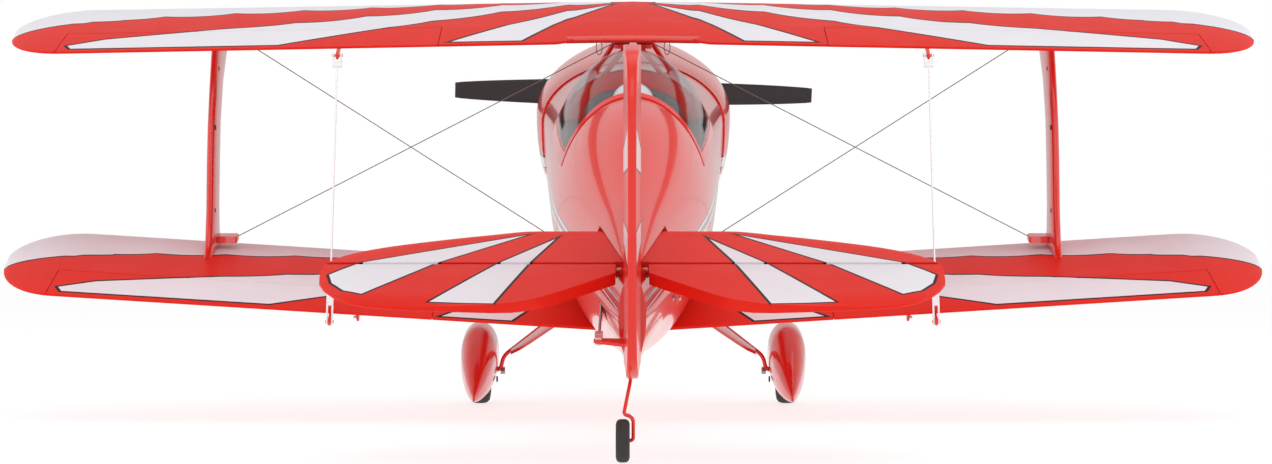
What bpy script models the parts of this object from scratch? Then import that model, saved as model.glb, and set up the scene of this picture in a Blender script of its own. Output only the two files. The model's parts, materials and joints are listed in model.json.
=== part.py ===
"""A park-size radio control aerobatic biplane, standing on its main wheels and tail wheel.

Shapes are laid out in millimetres on the aircraft's own drawing axes: x to its right, s aft from the
firewall and z above the thrust line. STANCE then sets the aircraft down on the floor, nose up and
nose towards +Y, with the floor at Z = 0. Each moving piece has its origin on its joint's axis.
"""

import math

import bmesh
import bpy
import numpy as np
from mathutils import Matrix, Vector

MM = 0.001
GAP = 0.35  # clearance between neighbouring pieces

# Stance on the ground
PITCH = math.radians(13.34)
THRUST_HEIGHT = 200.1  # thrust line at the firewall, above the floor
CENTRE_SHIFT = 214.38  # puts the box's centre at Y = 0

# Wings
SPAN = 840.0
CHORD = 156.0
WING_THICKNESS = 0.125
UPPER_NOSE = -8.0
UPPER_LINE = 88.0
SWEEP = 0.119  # aft run per unit of span
LOWER_NOSE = 100.0
LOWER_LINE = -83.6
DIHEDRAL = math.tan(math.radians(3.7))
TIP_START = 375.0
HINGE_SHARE = 0.73  # aileron hinge, as a share of the chord
AILERON_INNER = 130.0
AILERON_OUTER = 378.0
HINGE_BEVEL = math.tan(math.radians(28))
STRUT_X = 288.0
LINK_X = 195.0
LINK_HORN = (50.0, -10.0)  # link pivot from the hinge: aft, up
SERVO_X = 181.0
SERVO_HORN = (9.0, -17.0)
SERVO_STATION = 158.0
SPAR_LINE = LOWER_LINE + 4.7
WIRE_LINE = UPPER_LINE - 11.3  # upper ends of the struts and rigging, under the wing

# Fuselage: station, half width, height of the widest line, top, bottom
STATIONS = (
    (0, 66, 6, 50, -71),
    (60, 62, 5, 56, -85),
    (110, 59, 4, 60, -90),
    (265, 49, 0, 71, -88),
    (437, 24, 0, 43.5, -50),
    (546, 7.5, 1, 26, -27),
)
TOP_POWER = 1.95
BOTTOM_POWER = 2.9
SKIN = 2.5
HATCH_FRONT = 112.0
HATCH_REAR = 263.4
SILL = 26.6  # hatch sill height
CANOPY_TOP = ((110, 60), (135, 75), (160, 85), (184, 88), (215, 86), (240, 80), (265, 71))
COWL = ((-132, 44, 44), (-126, 54, 47), (-105, 67, 50), (-60, 73, 52), (-20, 71.5, 52.5), (3, 67.5, 51.5))

# Tail
TAIL_LINE = 22.8
STAB_HINGE = 523.0
STAB_EDGE = ((0, 436), (55, 436), (81, 446), (110, 460), (140, 478), (157, 495), (165, 512), (166.5, 522.5))
ELEVATOR_EDGE = (
    (166.5, 523), (167, 547), (158, 571), (145, 588), (120, 596), (92, 598), (62, 600), (54, 597), (9, 541),
)
ELEVATOR_DROOP = math.radians(2)  # trailing edge down at rest
ELEVATOR_HORN = (4.0, -15.0)
ELEVATOR_HORN_X = 24.0
RUDDER_HINGE = 548.0
FIN_HALF = 4.6  # half thickness at the hinge line
FIN_EDGE = ((440, 43.6), (452, 56), (500, 116), (520, 136), (535, 144), (547.4, 148), (547.4, 26.4))
RUDDER_EDGE = (
    (152, 13, 32), (150, 6, 38), (147, 0, 42), (141, 0, 46.5), (125, 0, 52), (85, 0, 56),
    (30, 0, 53), (-8, 0, 45), (-21, 0, 30), (-26.5, 0, 14),
)  # height, front and rear aft of the hinge
RUDDER_HORN = (-18.0, 4.0)  # pivot from the hinge: x, aft
RUDDER_HORN_LINE = -9.0

# Undercarriage
WHEEL_X = 112.0
WHEEL_STATION = 41.0
WHEEL_RADIUS = 24.0
TYRE_WIDTH = 15.0
LEG_TOP = (12, 41, -94)
LEG_FOOT = (95, 41, -160.5)
TAIL_WHEEL_X = -5.0
TAIL_WHEEL_STATION = 575.0
TAIL_WHEEL_RADIUS = 11.5
TAIL_TYRE_WIDTH = 7.6

# Power train
PROP_DIAMETER = 281.0
PROP_STATION = -155.0
PROP_TILT = math.radians(0.9)

STANCE = Matrix.Translation((0, CENTRE_SHIFT * MM, THRUST_HEIGHT * MM)) @ Matrix.Rotation(PITCH, 4, "X")

COLOURS = {  # colour, roughness, metallic
    "red_film": ((0.70, 0.035, 0.022), 0.25, 0.0),
    "red_paint": ((0.60, 0.03, 0.02), 0.3, 0.0),
    "black_nylon": ((0.012, 0.012, 0.013), 0.45, 0.0),
    "tyre_foam": ((0.02, 0.02, 0.02), 0.85, 0.0),
    "white_nylon": ((0.82, 0.82, 0.84), 0.4, 0.0),
    "spring_wire": ((0.35, 0.35, 0.36), 0.35, 1.0),
    "motor_metal": ((0.3, 0.3, 0.32), 0.35, 1.0),
    "clear_canopy": ((0.8, 0.86, 0.9), 0.05, 0.0),
    "cockpit_plastic": ((0.12, 0.12, 0.13), 0.6, 0.0),
    "plywood": ((0.55, 0.36, 0.18), 0.6, 0.0),
    "battery_wrap": ((0.05, 0.07, 0.2), 0.5, 0.0),
    "case_plastic": ((0.03, 0.03, 0.035), 0.5, 0.0),
}


# Shapes: each is (points, faces), with points as (x, s, z) in millimetres


def loft(rings, loop=False):
    """A tube through equal rings, capped at both ends or joined end to end."""
    count = len(rings[0])
    points = [point for ring in rings for point in ring]
    faces = []
    spans = len(rings) if loop else len(rings) - 1
    for i in range(spans):
        near, far = i * count, (i + 1) % len(rings) * count
        for j in range(count):
            k = (j + 1) % count
            faces.append((near + j, near + k, far + k, far + j))
    if not loop:
        faces.append(tuple(range(count)))
        faces.append(tuple(range(len(points) - count, len(points))))
    return points, faces


def block(low, high):
    corners = ((low[0], low[1]), (high[0], low[1]), (high[0], high[1]), (low[0], high[1]))
    return loft([[(x, s, z) for x, s in corners] for z in (low[2], high[2])])


def side_plate(outline, left, right):
    """A plate across x from an outline of (s, z)."""
    return loft([[(x, s, z) for s, z in outline] for x in (left, right)])


def rod(path, radius, sides=8):
    path = [Vector(point) for point in path]
    rings = []
    for i, point in enumerate(path):
        before = (point - path[i - 1]).normalized() if i else None
        after = (path[i + 1] - point).normalized() if i + 1 < len(path) else None
        along = ((before or after) + (after or before)).normalized()
        stretch = 1 / max(0.5, along.dot(after or before))
        if i == 0:
            across = along.orthogonal().normalized()
        across = (across - across.dot(along) * along).normalized()
        up = along.cross(across)
        bend = (after - before) if before and after and (after - before).length > 1e-4 else None
        ring = []
        for j in range(sides):
            angle = math.tau * j / sides
            offset = radius * (math.cos(angle) * across + math.sin(angle) * up)
            if bend:
                inward = bend.normalized()
                offset += offset.dot(inward) * (stretch - 1) * inward
            ring.append(tuple(point + offset))
        rings.append(ring)
    return loft(rings)


def turned(profile, centre, sides=24, axis="x", first_angle=0.0):
    """A ring or disc turned about x or s, from a closed profile of (radius, along)."""
    rings = []
    for i in range(sides):
        angle = first_angle + math.tau * i / sides
        c, d = math.cos(angle), math.sin(angle)
        if axis == "x":
            ring = [(centre[0] + a, centre[1] + r * c, centre[2] + r * d) for r, a in profile]
        else:
            ring = [(centre[0] + r * c, centre[1] + a, centre[2] + r * d) for r, a in profile]
        rings.append(ring)
    return loft(rings, loop=True)


def mirrored(shape):
    points, faces = shape
    return [(-x, s, z) for x, s, z in points], faces


def sided(shape, side):
    """The right-hand shape, or its mirror image for side = -1."""
    return shape if side > 0 else mirrored(shape)


# Objects


def material(name):
    found = bpy.data.materials.get(name)
    if found:
        return found
    colour, roughness, metallic = COLOURS[name]
    made = bpy.data.materials.new(name)
    made.use_nodes = True
    shader = made.node_tree.nodes["Principled BSDF"]
    shader.inputs["Base Color"].default_value = (*colour, 1)
    shader.inputs["Roughness"].default_value = roughness
    shader.inputs["Metallic"].default_value = metallic
    return made


def new_object(name, shape, pivot, matrix):
    points, faces = shape
    origin = Vector(pivot)
    builder = bmesh.new()
    made = []
    for point in points:
        x, s, z = Vector(point) - origin
        made.append(builder.verts.new((x * MM, -s * MM, z * MM)))
    for face in faces:
        builder.faces.new([made[i] for i in face])
    bmesh.ops.remove_doubles(builder, verts=builder.verts, dist=1e-7)
    bmesh.ops.dissolve_degenerate(builder, edges=builder.edges, dist=1e-7)
    loose = [edge for edge in builder.edges if not edge.link_faces]
    bmesh.ops.delete(builder, geom=loose, context="EDGES")
    bmesh.ops.triangulate(builder, faces=builder.faces)
    bmesh.ops.recalc_face_normals(builder, faces=builder.faces)
    mesh = bpy.data.meshes.new(name)
    builder.to_mesh(mesh)
    builder.free()
    mesh.shade_smooth()
    mesh.set_sharp_from_angle(angle=math.radians(35))
    result = bpy.data.objects.new(name, mesh)
    bpy.context.scene.collection.objects.link(result)
    result.matrix_world = matrix
    return result


def piece(name, shape, finish, pivot=(0, 0, 0), joined=(), cut=()):
    """One named solid, with further shapes joined to it or cut from it."""
    origin = Vector((pivot[0] * MM, -pivot[1] * MM, pivot[2] * MM))
    matrix = STANCE @ Matrix.Translation(origin)
    result = new_object(name, shape, pivot, matrix)
    result.data.materials.append(material(finish))
    for operation, tools in (("UNION", joined), ("DIFFERENCE", cut)):
        for i, tool_shape in enumerate(tools):
            tool = new_object(f"{name}_{operation.lower()}_{i}", tool_shape, pivot, matrix)
            tool.hide_render = True
            tool.display_type = "WIRE"
            modifier = result.modifiers.new(tool.name, "BOOLEAN")
            modifier.operation = operation
            modifier.object = tool
    return result


# Wing geometry


def half_thickness(share, thickness):
    """Half the depth of a symmetrical section at a share of its chord, with a blunt trailing edge."""
    powers = -0.126 * share - 0.3516 * share**2 + 0.2843 * share**3 - 0.1015 * share**4
    return 5 * thickness * (0.2969 * math.sqrt(share) + powers) + 0.004 * share


def chord_ends(nose, chord, x):
    """Front and rear of the chord at x, drawn in elliptically at the tip."""
    reach = max(0.0, min(0.999, (abs(x) - TIP_START) / (SPAN / 2 - TIP_START)))
    shrink = 1 - math.sqrt(1 - reach**2)
    return nose + 0.48 * shrink * chord, nose + chord - 0.52 * shrink * chord


def wing_section(x, nose, line, swell=0.0, shorten=0.0):
    front, rear = chord_ends(nose, CHORD - shorten, x)
    chord = rear - front
    depth = WING_THICKNESS * CHORD * (0.25 + 0.75 * chord / CHORD)
    upper = []
    for share in (1, 0.86, 0.73, 0.55, 0.36, 0.2, 0.09, 0.03, 0.006, 0):
        upper.append((share, half_thickness(share, depth / chord) * chord + swell))
    ring = [(x, front + share * chord - (swell if share == 0 else 0), line + h) for share, h in upper[:-1]]
    ring.append((x, front - swell, line))
    ring += [(x, front + share * chord, line - h) for share, h in reversed(upper[:-1])]
    return ring


def upper_nose(x):
    return UPPER_NOSE + SWEEP * abs(x)


def lower_line(x):
    return LOWER_LINE + DIHEDRAL * abs(x)


TIP_CUTS = (375, 390, 402, 411, 417, 419.3, 420)


def upper_wing_shape(swell=0.0):
    half = [48, 60, 130, 250, *TIP_CUTS]
    cuts = [-x for x in reversed(half)] + [-40, 0, 40] + half
    return loft([
        wing_section(x, upper_nose(x), UPPER_LINE, swell, shorten=12 if abs(x) <= 40 else 0) for x in cuts
    ])


def lower_wing_shape(swell=0.0):
    return loft([wing_section(x, LOWER_NOSE, lower_line(x), swell) for x in (18, 130, 250, *TIP_CUTS)])


def hinge_point(x, upper):
    """The aileron hinge on the top skin at x: station and height."""
    nose = upper_nose(x) if upper else LOWER_NOSE
    line = UPPER_LINE if upper else lower_line(x)
    return nose + HINGE_SHARE * CHORD, line + half_thickness(HINGE_SHARE, WING_THICKNESS) * CHORD


def aileron_shape(upper):
    """Hinged at its top front corner, bevelled away below so that it can droop."""
    rings = []
    for x in (AILERON_INNER, 250, AILERON_OUTER):
        station, top = hinge_point(x, upper)
        line = UPPER_LINE if upper else lower_line(x)
        depth = top - line
        front, rear = chord_ends(upper_nose(x) if upper else LOWER_NOSE, CHORD, x)
        chord = rear - front
        mid = half_thickness(0.86, WING_THICKNESS) * CHORD
        edge = half_thickness(1, WING_THICKNESS) * CHORD
        rings.append([
            (x, station, top),
            (x, front + 0.86 * chord, line + mid),
            (x, rear, line + edge),
            (x, rear, line - edge),
            (x, front + 0.86 * chord, line - mid),
            (x, station + 2 * depth * HINGE_BEVEL, line - depth * 0.96),
        ])
    return loft(rings)


def aileron_bay(upper):
    rings = []
    for x in (AILERON_INNER - 0.6, AILERON_OUTER + 0.6):
        station, top = hinge_point(x, upper)
        front, rear = station - GAP, station + 80
        rings.append([(x, front, top - 30), (x, front, top + 20), (x, rear, top + 20), (x, rear, top - 30)])
    return loft(rings)


def horn(hinge, offset, x, root_aft, half_width=0.8):
    """A control horn: a thin tapered plate from inside its surface out to the pivot."""
    station, top = hinge
    pivot = (station + offset[0], top + offset[1])
    outline = [
        (station + root_aft - 7, top - 5), (station + root_aft + 5, top - 5),
        (pivot[0] + 2.2, pivot[1] + 1), (pivot[0] + 1, pivot[1] - 2), (pivot[0] - 2, pivot[1] - 1.6),
    ]
    return side_plate(outline, x - half_width, x + half_width)


# Fuselage geometry


def body_line(station, column):
    return float(np.interp(station, [row[0] for row in STATIONS], [row[column] for row in STATIONS]))


def body_section(station, swell=0.0, top=None, sides=28):
    """A closed section: rounded above its widest line, squarer below it."""
    width = body_line(station, 1) + swell
    middle = body_line(station, 2)
    above = (top if top is not None else body_line(station, 3)) + swell - middle
    below = middle - body_line(station, 4) + swell
    ring = []
    for i in range(sides):
        angle = math.tau * (i + 0.5) / sides
        c, d = math.cos(angle), math.sin(angle)
        power = 2 / (TOP_POWER if d > 0 else BOTTOM_POWER)
        x = width * math.copysign(abs(c) ** power, c)
        z = middle + (above if d > 0 else below) * math.copysign(abs(d) ** power, d)
        ring.append((x, station, z))
    return ring


def side_at(station, height):
    """Half width of the fuselage at a height."""
    middle = body_line(station, 2)
    top, bottom = body_line(station, 3), body_line(station, 4)
    power = TOP_POWER if height > middle else BOTTOM_POWER
    share = (height - middle) / ((top if height > middle else bottom) - middle)
    return body_line(station, 1) * (1 - share**power) ** (1 / power)


BODY_CUTS = (0, 30, 60, 110, 150, 190, 230, 265, 310, 360, 400, 437, 490, 546)


def body_shape(swell=0.0, first=0.0, last=546.0):
    cuts = [first, *[cut for cut in BODY_CUTS if first < cut < last], last]
    return loft([body_section(cut, swell) for cut in cuts])


def canopy_shape(swell, first, last):
    cuts = [first, *[cut for cut, _ in CANOPY_TOP if first < cut < last], last]
    rings = []
    for cut in cuts:
        top = float(np.interp(cut, [row[0] for row in CANOPY_TOP], [row[1] for row in CANOPY_TOP]))
        rings.append(body_section(cut, swell, top=top, sides=24))
    return loft(rings)


# Pieces of the airframe


def make_fuselage():
    stab_slot = block((-40, 435.5, TAIL_LINE - 4.4), (40, STAB_HINGE + 2.4, TAIL_LINE + 4.4))
    hatch_cut = block((-90, HATCH_FRONT - GAP, SILL), (90, HATCH_REAR + 4 * GAP, 120))
    spar_hole = rod([(-80, 150, SPAR_LINE), (80, 150, SPAR_LINE)], 3.5, 12)
    rudder_slot = block((-40, 452, RUDDER_HORN_LINE - 3), (-9, 560, RUDDER_HORN_LINE + 3))
    elevator_slot = block((10, 400, -6), (60, 530, 11))
    piece(
        "fuselage_shell", body_shape(), "red_film",
        cut=(body_shape(-SKIN, -1.0, 500.0), hatch_cut, stab_slot, spar_hole, rudder_slot, elevator_slot),
    )


def cowl_rings(swell, rows):
    """Rounded rings whose height is set apart from their width."""
    rings = []
    for station, width, top in rows:
        ring = []
        for i in range(24):
            angle = math.tau * (i + 0.5) / 24
            c, d = math.cos(angle), math.sin(angle)
            z = 2 + (top - 2 + swell if d > 0 else width + 6 + swell) * d
            ring.append(((width + swell) * c, station, z))
        rings.append(ring)
    return rings


def make_nose():
    inner = [(station - (2 if i == 0 else 0) + (2 if i == len(COWL) - 1 else 0), width, top)
             for i, (station, width, top) in enumerate(COWL)]
    behind = body_shape(GAP, -0.5, 20.0)
    piece("cowling", loft(cowl_rings(0, COWL)), "red_film", cut=(loft(cowl_rings(-2.2, inner)), behind))
    plate = [(x * 0.86, s, z * 0.86) for x, s, z in body_section(0)]
    piece("firewall", loft([[(x, s, z) for x, _, z in plate] for s in (-4.2, -0.8)]), "plywood")
    mount = [(0, -5), (30, -5), (22, -78), (0, -78)]
    piece("motor_mount", turned(mount, (0, 0, 0), 16, "s"), "motor_metal")
    bell = turned([(0, -79), (18, -79), (18.5, -84), (18.5, -112), (12, -120), (0, -120)], (0, 0, 0), 20, "s")
    shaft = rod([(0, -118, 0), (0, -149.5, 0)], 2.5, 10)
    piece("motor_bell", bell, "motor_metal", joined=(shaft,))


def blade_shape():
    rings = []
    rows = ((0.02, 13, 40), (0.14, 17, 34), (0.3, 21, 26), (0.6, 18.5, 17), (1.0, 12.6, 11))
    for share, chord, twist in rows:
        x = share * PROP_DIAMETER / 2
        angle = math.radians(twist)
        ring = []
        for along, up in ((-0.5, 0), (-0.2, 0.09), (0.2, 0.07), (0.5, 0), (0.2, -0.04), (-0.2, -0.04)):
            a, u = along * chord, up * chord + (0.5 if up > 0 else -0.5)
            s = PROP_STATION + a * math.sin(angle) - u * math.cos(angle)
            z = a * math.cos(angle) + u * math.sin(angle)
            ring.append((x, s, z))
        rings.append(ring)
    return loft(rings)


def tilted(shape):
    """Turned about the thrust line by the propeller's rest angle."""
    points, faces = shape
    c, d = math.cos(-PROP_TILT), math.sin(-PROP_TILT)
    return [(x * c - z * d, s, x * d + z * c) for x, s, z in points], faces


def turned_half(shape):
    points, faces = shape
    return [(-x, s, -z) for x, s, z in points], faces


def make_propeller():
    low, high = PROP_STATION - 5, PROP_STATION + 5
    hub = turned([(0, low), (10, low), (10, high), (0, high)], (0, 0, 0), 16, "s")
    blade = tilted(blade_shape())
    piece("propeller", hub, "black_nylon", joined=(blade, turned_half(blade)))
    tip = PROP_STATION - 34
    profile = [(0, tip), (8, tip + 5), (14, tip + 13), (17.5, low - GAP), (0, low - GAP)]
    piece("spinner", turned(profile, (0, 0, 0), 20, "s"), "red_paint")


def make_wings():
    piece(
        "upper_wing", upper_wing_shape(), "red_film",
        cut=(aileron_bay(True), mirrored(aileron_bay(True))),
    )
    spar_bore = rod([(0, 150, SPAR_LINE), (92, 150, SPAR_LINE)], 3.5, 12)
    body = body_shape(GAP, 0.0, 546.0)
    servo_well = block((SERVO_X - 20, 140, -100), (SERVO_X + 12, 176, LOWER_LINE + 10.5))
    for side, word in ((-1, "left"), (1, "right")):
        piece(
            f"lower_wing_{word}", sided(lower_wing_shape(), side), "red_film",
            cut=(sided(aileron_bay(False), side), sided(spar_bore, side), body, sided(servo_well, side)),
        )
    piece("wing_joiner_tube", rod([(-90, 150, SPAR_LINE), (90, 150, SPAR_LINE)], 3.1, 12), "spring_wire")


def make_ailerons():
    for upper, level in ((True, "upper"), (False, "lower")):
        hinge = hinge_point(LINK_X, upper)
        parts = [horn(hinge, LINK_HORN, LINK_X, 32)]
        if not upper:
            parts.append(horn(hinge_point(SERVO_X, False), SERVO_HORN, SERVO_X, 13))
        for side, word in ((-1, "left"), (1, "right")):
            pivot = (side * LINK_X, *hinge)
            piece(
                f"aileron_{level}_{word}", sided(aileron_shape(upper), side), "red_film", pivot,
                joined=[sided(part, side) for part in parts],
            )


def link_pivot(upper):
    station, top = hinge_point(LINK_X, upper)
    return station + LINK_HORN[0], top + LINK_HORN[1]


def make_aileron_links():
    low, high = link_pivot(False), link_pivot(True)
    x = LINK_X - 2.2
    for side, word in ((-1, "left"), (1, "right")):
        path = [(side * x, *low), (side * x, *high)]
        piece(f"aileron_link_{word}", rod(path, 0.9, 8), "spring_wire", (side * x, *low))


def make_aileron_servos():
    station, top = hinge_point(SERVO_X, False)
    line = top - 5.0  # the arm's pivot stands below the wing skin
    pivot = (SERVO_STATION, line - 6)
    end = (pivot[0] + SERVO_HORN[0], pivot[1] + SERVO_HORN[1])
    horn_end = (station + SERVO_HORN[0], top + SERVO_HORN[1])
    for side, word in ((-1, "left"), (1, "right")):
        case = block((SERVO_X - 18, 142, LOWER_LINE - 5.3), (SERVO_X - 3.5, 174, LOWER_LINE + 8.5))
        piece(f"aileron_servo_{word}", sided(case, side), "case_plastic")
        outline = [(pivot[0] - 3, pivot[1]), (pivot[0], pivot[1] + 3), (pivot[0] + 3, pivot[1]),
                   (end[0] + 1.6, end[1] - 1), (end[0] - 1.6, end[1] - 1)]
        arm = side_plate(outline, SERVO_X - 3, SERVO_X - 1.4)
        piece(f"aileron_servo_arm_{word}", sided(arm, side), "white_nylon", (side * (SERVO_X - 2), *pivot))
        x = side * (SERVO_X + 2.2)
        crank = side * (SERVO_X - 0.2)
        path = [(crank, *end), (x, end[0] + 4, end[1]), (x, *horn_end)]
        piece(f"aileron_pushrod_{word}", rod(path, 0.8, 8), "spring_wire", (side * (SERVO_X - 2), *end))


def make_struts():
    for side, word in ((-1, "left"), (1, "right")):
        outline = [
            (112, -66), (176, -66), (160, -46), (143, -20), (122, 24), (110, 60), (100, 90),
            (38, 90), (62, 62), (82, 24), (104, -20), (116, -46),
        ]
        strut = side_plate(outline, STRUT_X - 3.2, STRUT_X + 3.2)
        tab = block((STRUT_X - 15, 134, -51), (STRUT_X - 3, 142, -47.5))
        piece(
            f"interplane_strut_{word}", sided(strut, side), "red_paint", joined=(sided(tab, side),),
            cut=(upper_wing_shape(GAP), sided(lower_wing_shape(GAP), side)),
        )
        front = rod([(26, 40, 51), (11, 56, WIRE_LINE)], 1.9, 8)
        rear = rod([(21, 98, 56), (4.2, 91, WIRE_LINE)], 1.9, 8)
        foot = block((2.2, 54, WIRE_LINE - 1.9), (13, 94, WIRE_LINE + 0.7))
        piece(
            f"cabane_strut_{word}", sided(foot, side), "red_paint",
            joined=(sided(front, side), sided(rear, side)),
            cut=(body_shape(GAP, 0.0, 200.0), upper_wing_shape(GAP)),
        )


def make_wires():
    for side, word in ((-1, "left"), (1, "right")):
        flying = [(side * 56, 120, -53), (side * 270, 85, WIRE_LINE)]
        landing = [(side * (STRUT_X - 16.5), 138, -49), (side * 15.2, 99, WIRE_LINE)]
        piece(f"flying_wire_{word}", rod(flying, 0.45, 6), "spring_wire")
        piece(f"landing_wire_{word}", rod(landing, 0.45, 6), "spring_wire")


def make_undercarriage():
    centre = (WHEEL_STATION, wheel_line(WHEEL_STATION, WHEEL_RADIUS))
    for side, word in ((-1, "left"), (1, "right")):
        leg = rod([(12, 41, -85), LEG_TOP, LEG_FOOT, (97, *centre), (117, *centre)], 1.5, 8)
        piece(
            f"landing_gear_wire_{word}", sided(leg, side), "spring_wire",
            cut=(body_shape(GAP, 0.0, 200.0),),
        )
        corners = ((4, 44), (4, 96), (90, 58), (90, 44))
        drop = (LEG_FOOT[2] - LEG_TOP[2]) / (LEG_FOOT[0] - LEG_TOP[0])
        lower = [(x, s, LEG_TOP[2] + drop * (x - LEG_TOP[0]) - 1.2) for x, s in corners]
        upper = [(x, s, z + 1.8) for x, s, z in lower]
        piece(
            f"gear_fairing_{word}", sided(loft([lower, upper]), side), "red_paint",
            cut=(body_shape(GAP, 0.0, 200.0),),
        )
        make_wheel_pant(side, word, centre)
        make_wheel(side, word, centre)


def wheel_line(station, radius):
    """Height of an axle whose wheel stands on the floor, above the thrust line."""
    return (radius - THRUST_HEIGHT + station * math.sin(PITCH)) / math.cos(PITCH)


def make_wheel_pant(side, word, centre):
    rings = []
    for aft, width, above, below in (
        (-44, 1.5, 2, 6), (-41, 6, 9, 12), (-30, 11.5, 22, 15), (-12, 13.5, 33, 15), (10, 13.5, 32, 13),
        (35, 11, 24, 10.5), (60, 6.5, 12, 6), (78, 1.2, 2.5, 2.5),
    ):
        middle = centre[1] + (above - below) / 2
        high = (above + below) / 2
        ring = []
        for i in range(16):
            angle = math.tau * (i + 0.5) / 16
            c, d = math.cos(angle), math.sin(angle)
            x = WHEEL_X + width * math.copysign(abs(c) ** 0.9, c)
            ring.append((x, centre[0] + aft, middle + high * math.copysign(abs(d) ** 0.8, d)))
        rings.append(ring)
    width = TYRE_WIDTH / 2 + 2
    well = turned([(0, -width), (27, -width), (27, width), (0, width)], (WHEEL_X, *centre), 20)
    axle_hole = rod([(90, *centre), (WHEEL_X, *centre)], 2.0, 10)
    piece(
        f"wheel_pant_{word}", sided(loft(rings), side), "red_film",
        cut=(sided(well, side), sided(axle_hole, side)),
    )


def upright_wheel(profile, centre_x, station, line, sides):
    """Turned so that one facet of its tread faces straight down when the aircraft stands."""
    downward = PITCH - math.pi / 2
    return turned(profile, (centre_x, station, line), sides, first_angle=downward + math.pi / sides)


def tread_radius(radius, sides):
    """Corner radius that gives the facets this distance from the axle."""
    return radius / math.cos(math.pi / sides)


def make_wheel(side, word, centre):
    sides = 24
    outer = tread_radius(WHEEL_RADIUS, sides)
    half = TYRE_WIDTH / 2
    tyre = [
        (12.4, -half + 2), (outer - 4, -half), (outer, -half + 3),
        (outer, half - 3), (outer - 4, half), (12.4, half - 2),
    ]
    hub = [(1.8, -4), (12, -4.6), (12, 4.6), (1.8, 4)]
    x = side * WHEEL_X
    piece(f"tyre_{word}", upright_wheel(tyre, x, *centre, sides), "tyre_foam", (x, *centre))
    piece(f"wheel_hub_{word}", upright_wheel(hub, x, *centre, sides), "white_nylon", (x, *centre))


def make_tail_wheel():
    line = wheel_line(TAIL_WHEEL_STATION, TAIL_WHEEL_RADIUS)
    sides = 20
    outer = tread_radius(TAIL_WHEEL_RADIUS, sides)
    half = TAIL_TYRE_WIDTH / 2
    profile = [
        (1.3, -half), (outer - 1.5, -half), (outer, -half + 1.2),
        (outer, half - 1.2), (outer - 1.5, half), (1.3, half),
    ]
    pivot = (TAIL_WHEEL_X, TAIL_WHEEL_STATION, line)
    piece("tail_wheel", upright_wheel(profile, *pivot, sides), "tyre_foam", pivot)
    path = [
        (-0.5, 557, -27.1), (-1, 559, -29.5), (-4.5, 572, line + 13.6), (-1.2, 574, line + 13.4),
        (0.4, 575, line + 11.5), (0.4, 575, line), (-7.6, 575, line),
    ]
    piece("tail_wheel_strut", rod(path, 0.9, 8), "red_paint", (0, RUDDER_HINGE, -24))


# Tail surfaces


def tail_plate(outline, thick, edge, far):
    """A flat tail surface lofted across x: (x, front, rear) rows, thickest at the hinge side."""
    rings = []
    for x, front, rear in outline:
        hinge, free = thick / 2, edge / 2
        a, b = (hinge, free) if far == "rear" else (free, hinge)
        middle = (front + rear) / 2
        rings.append([
            (x, front, TAIL_LINE + a), (x, middle, TAIL_LINE + (a + b) / 2 + 0.4), (x, rear, TAIL_LINE + b),
            (x, rear, TAIL_LINE - b), (x, middle, TAIL_LINE - (a + b) / 2 - 0.4), (x, front, TAIL_LINE - a),
        ])
    return loft(rings)


def make_tailplane():
    edge = STAB_EDGE[:-1]
    rows = [(x, s, STAB_HINGE - 0.5) for x, s in edge]
    rows = [(-x, a, b) for x, a, b in reversed(rows[1:])] + rows
    joiner_notch = block((-9.5, STAB_HINGE - 2, TAIL_LINE - 10), (9.5, STAB_HINGE + 5, TAIL_LINE + 10))
    piece("horizontal_stabilizer", tail_plate(rows, 8.0, 2.6, "front"), "red_film", cut=(joiner_notch,))


def elevator_rows():
    """Front and rear of the elevator at each cut across x."""
    outer = [(x, s) for x, s in ELEVATOR_EDGE if x >= 60][::-1]
    rows = [(9, 541), (20, 554.7), (32, 569.6), (54, 597)] + outer[:-1]
    return [(x, STAB_HINGE + GAP, rear) for x, rear in rows]


def drooped(s, z):
    """A point of the elevator turned about its hinge to its rest position."""
    aft, up = s - STAB_HINGE, z - TAIL_LINE
    c, d = math.cos(ELEVATOR_DROOP), math.sin(ELEVATOR_DROOP)
    return STAB_HINGE + aft * c + up * d, TAIL_LINE - aft * d + up * c


def elevator_shape():
    rings = []
    for x, front, rear in elevator_rows():
        chord = rear - front
        half = 4.0
        nose = half * math.tan(math.radians(30))
        edge = max(1.0, half * (1 - chord / 110))
        bevel = min(nose, chord * 0.3)
        upper = [(front, 0.3), (front + bevel, half), (rear, edge)]
        lower = [(s, -up) for s, up in reversed(upper)]
        rings.append([(x, *drooped(s, TAIL_LINE + up)) for s, up in upper + lower])
    return loft(rings)


def make_elevator():
    pivot = (0, STAB_HINGE, TAIL_LINE)
    hinge = (STAB_HINGE, TAIL_LINE)
    x = ELEVATOR_HORN_X
    tip = (hinge[0] + ELEVATOR_HORN[0], hinge[1] + ELEVATOR_HORN[1])
    outline = [
        (hinge[0] + 3, hinge[1] - 1.5), (hinge[0] + 16, hinge[1] - 1.5),
        (tip[0] + 2, tip[1] - 1), (tip[0] - 2, tip[1] - 1),
    ]
    control_horn = side_plate(outline, x - 0.8, x + 0.8)
    piece("elevator_left", mirrored(elevator_shape()), "red_film", pivot)
    piece("elevator_right", elevator_shape(), "red_film", pivot, joined=(control_horn,))
    piece("elevator_joiner", rod([(-8.6, *hinge), (8.6, *hinge)], 1.3, 10), "spring_wire", pivot)


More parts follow.
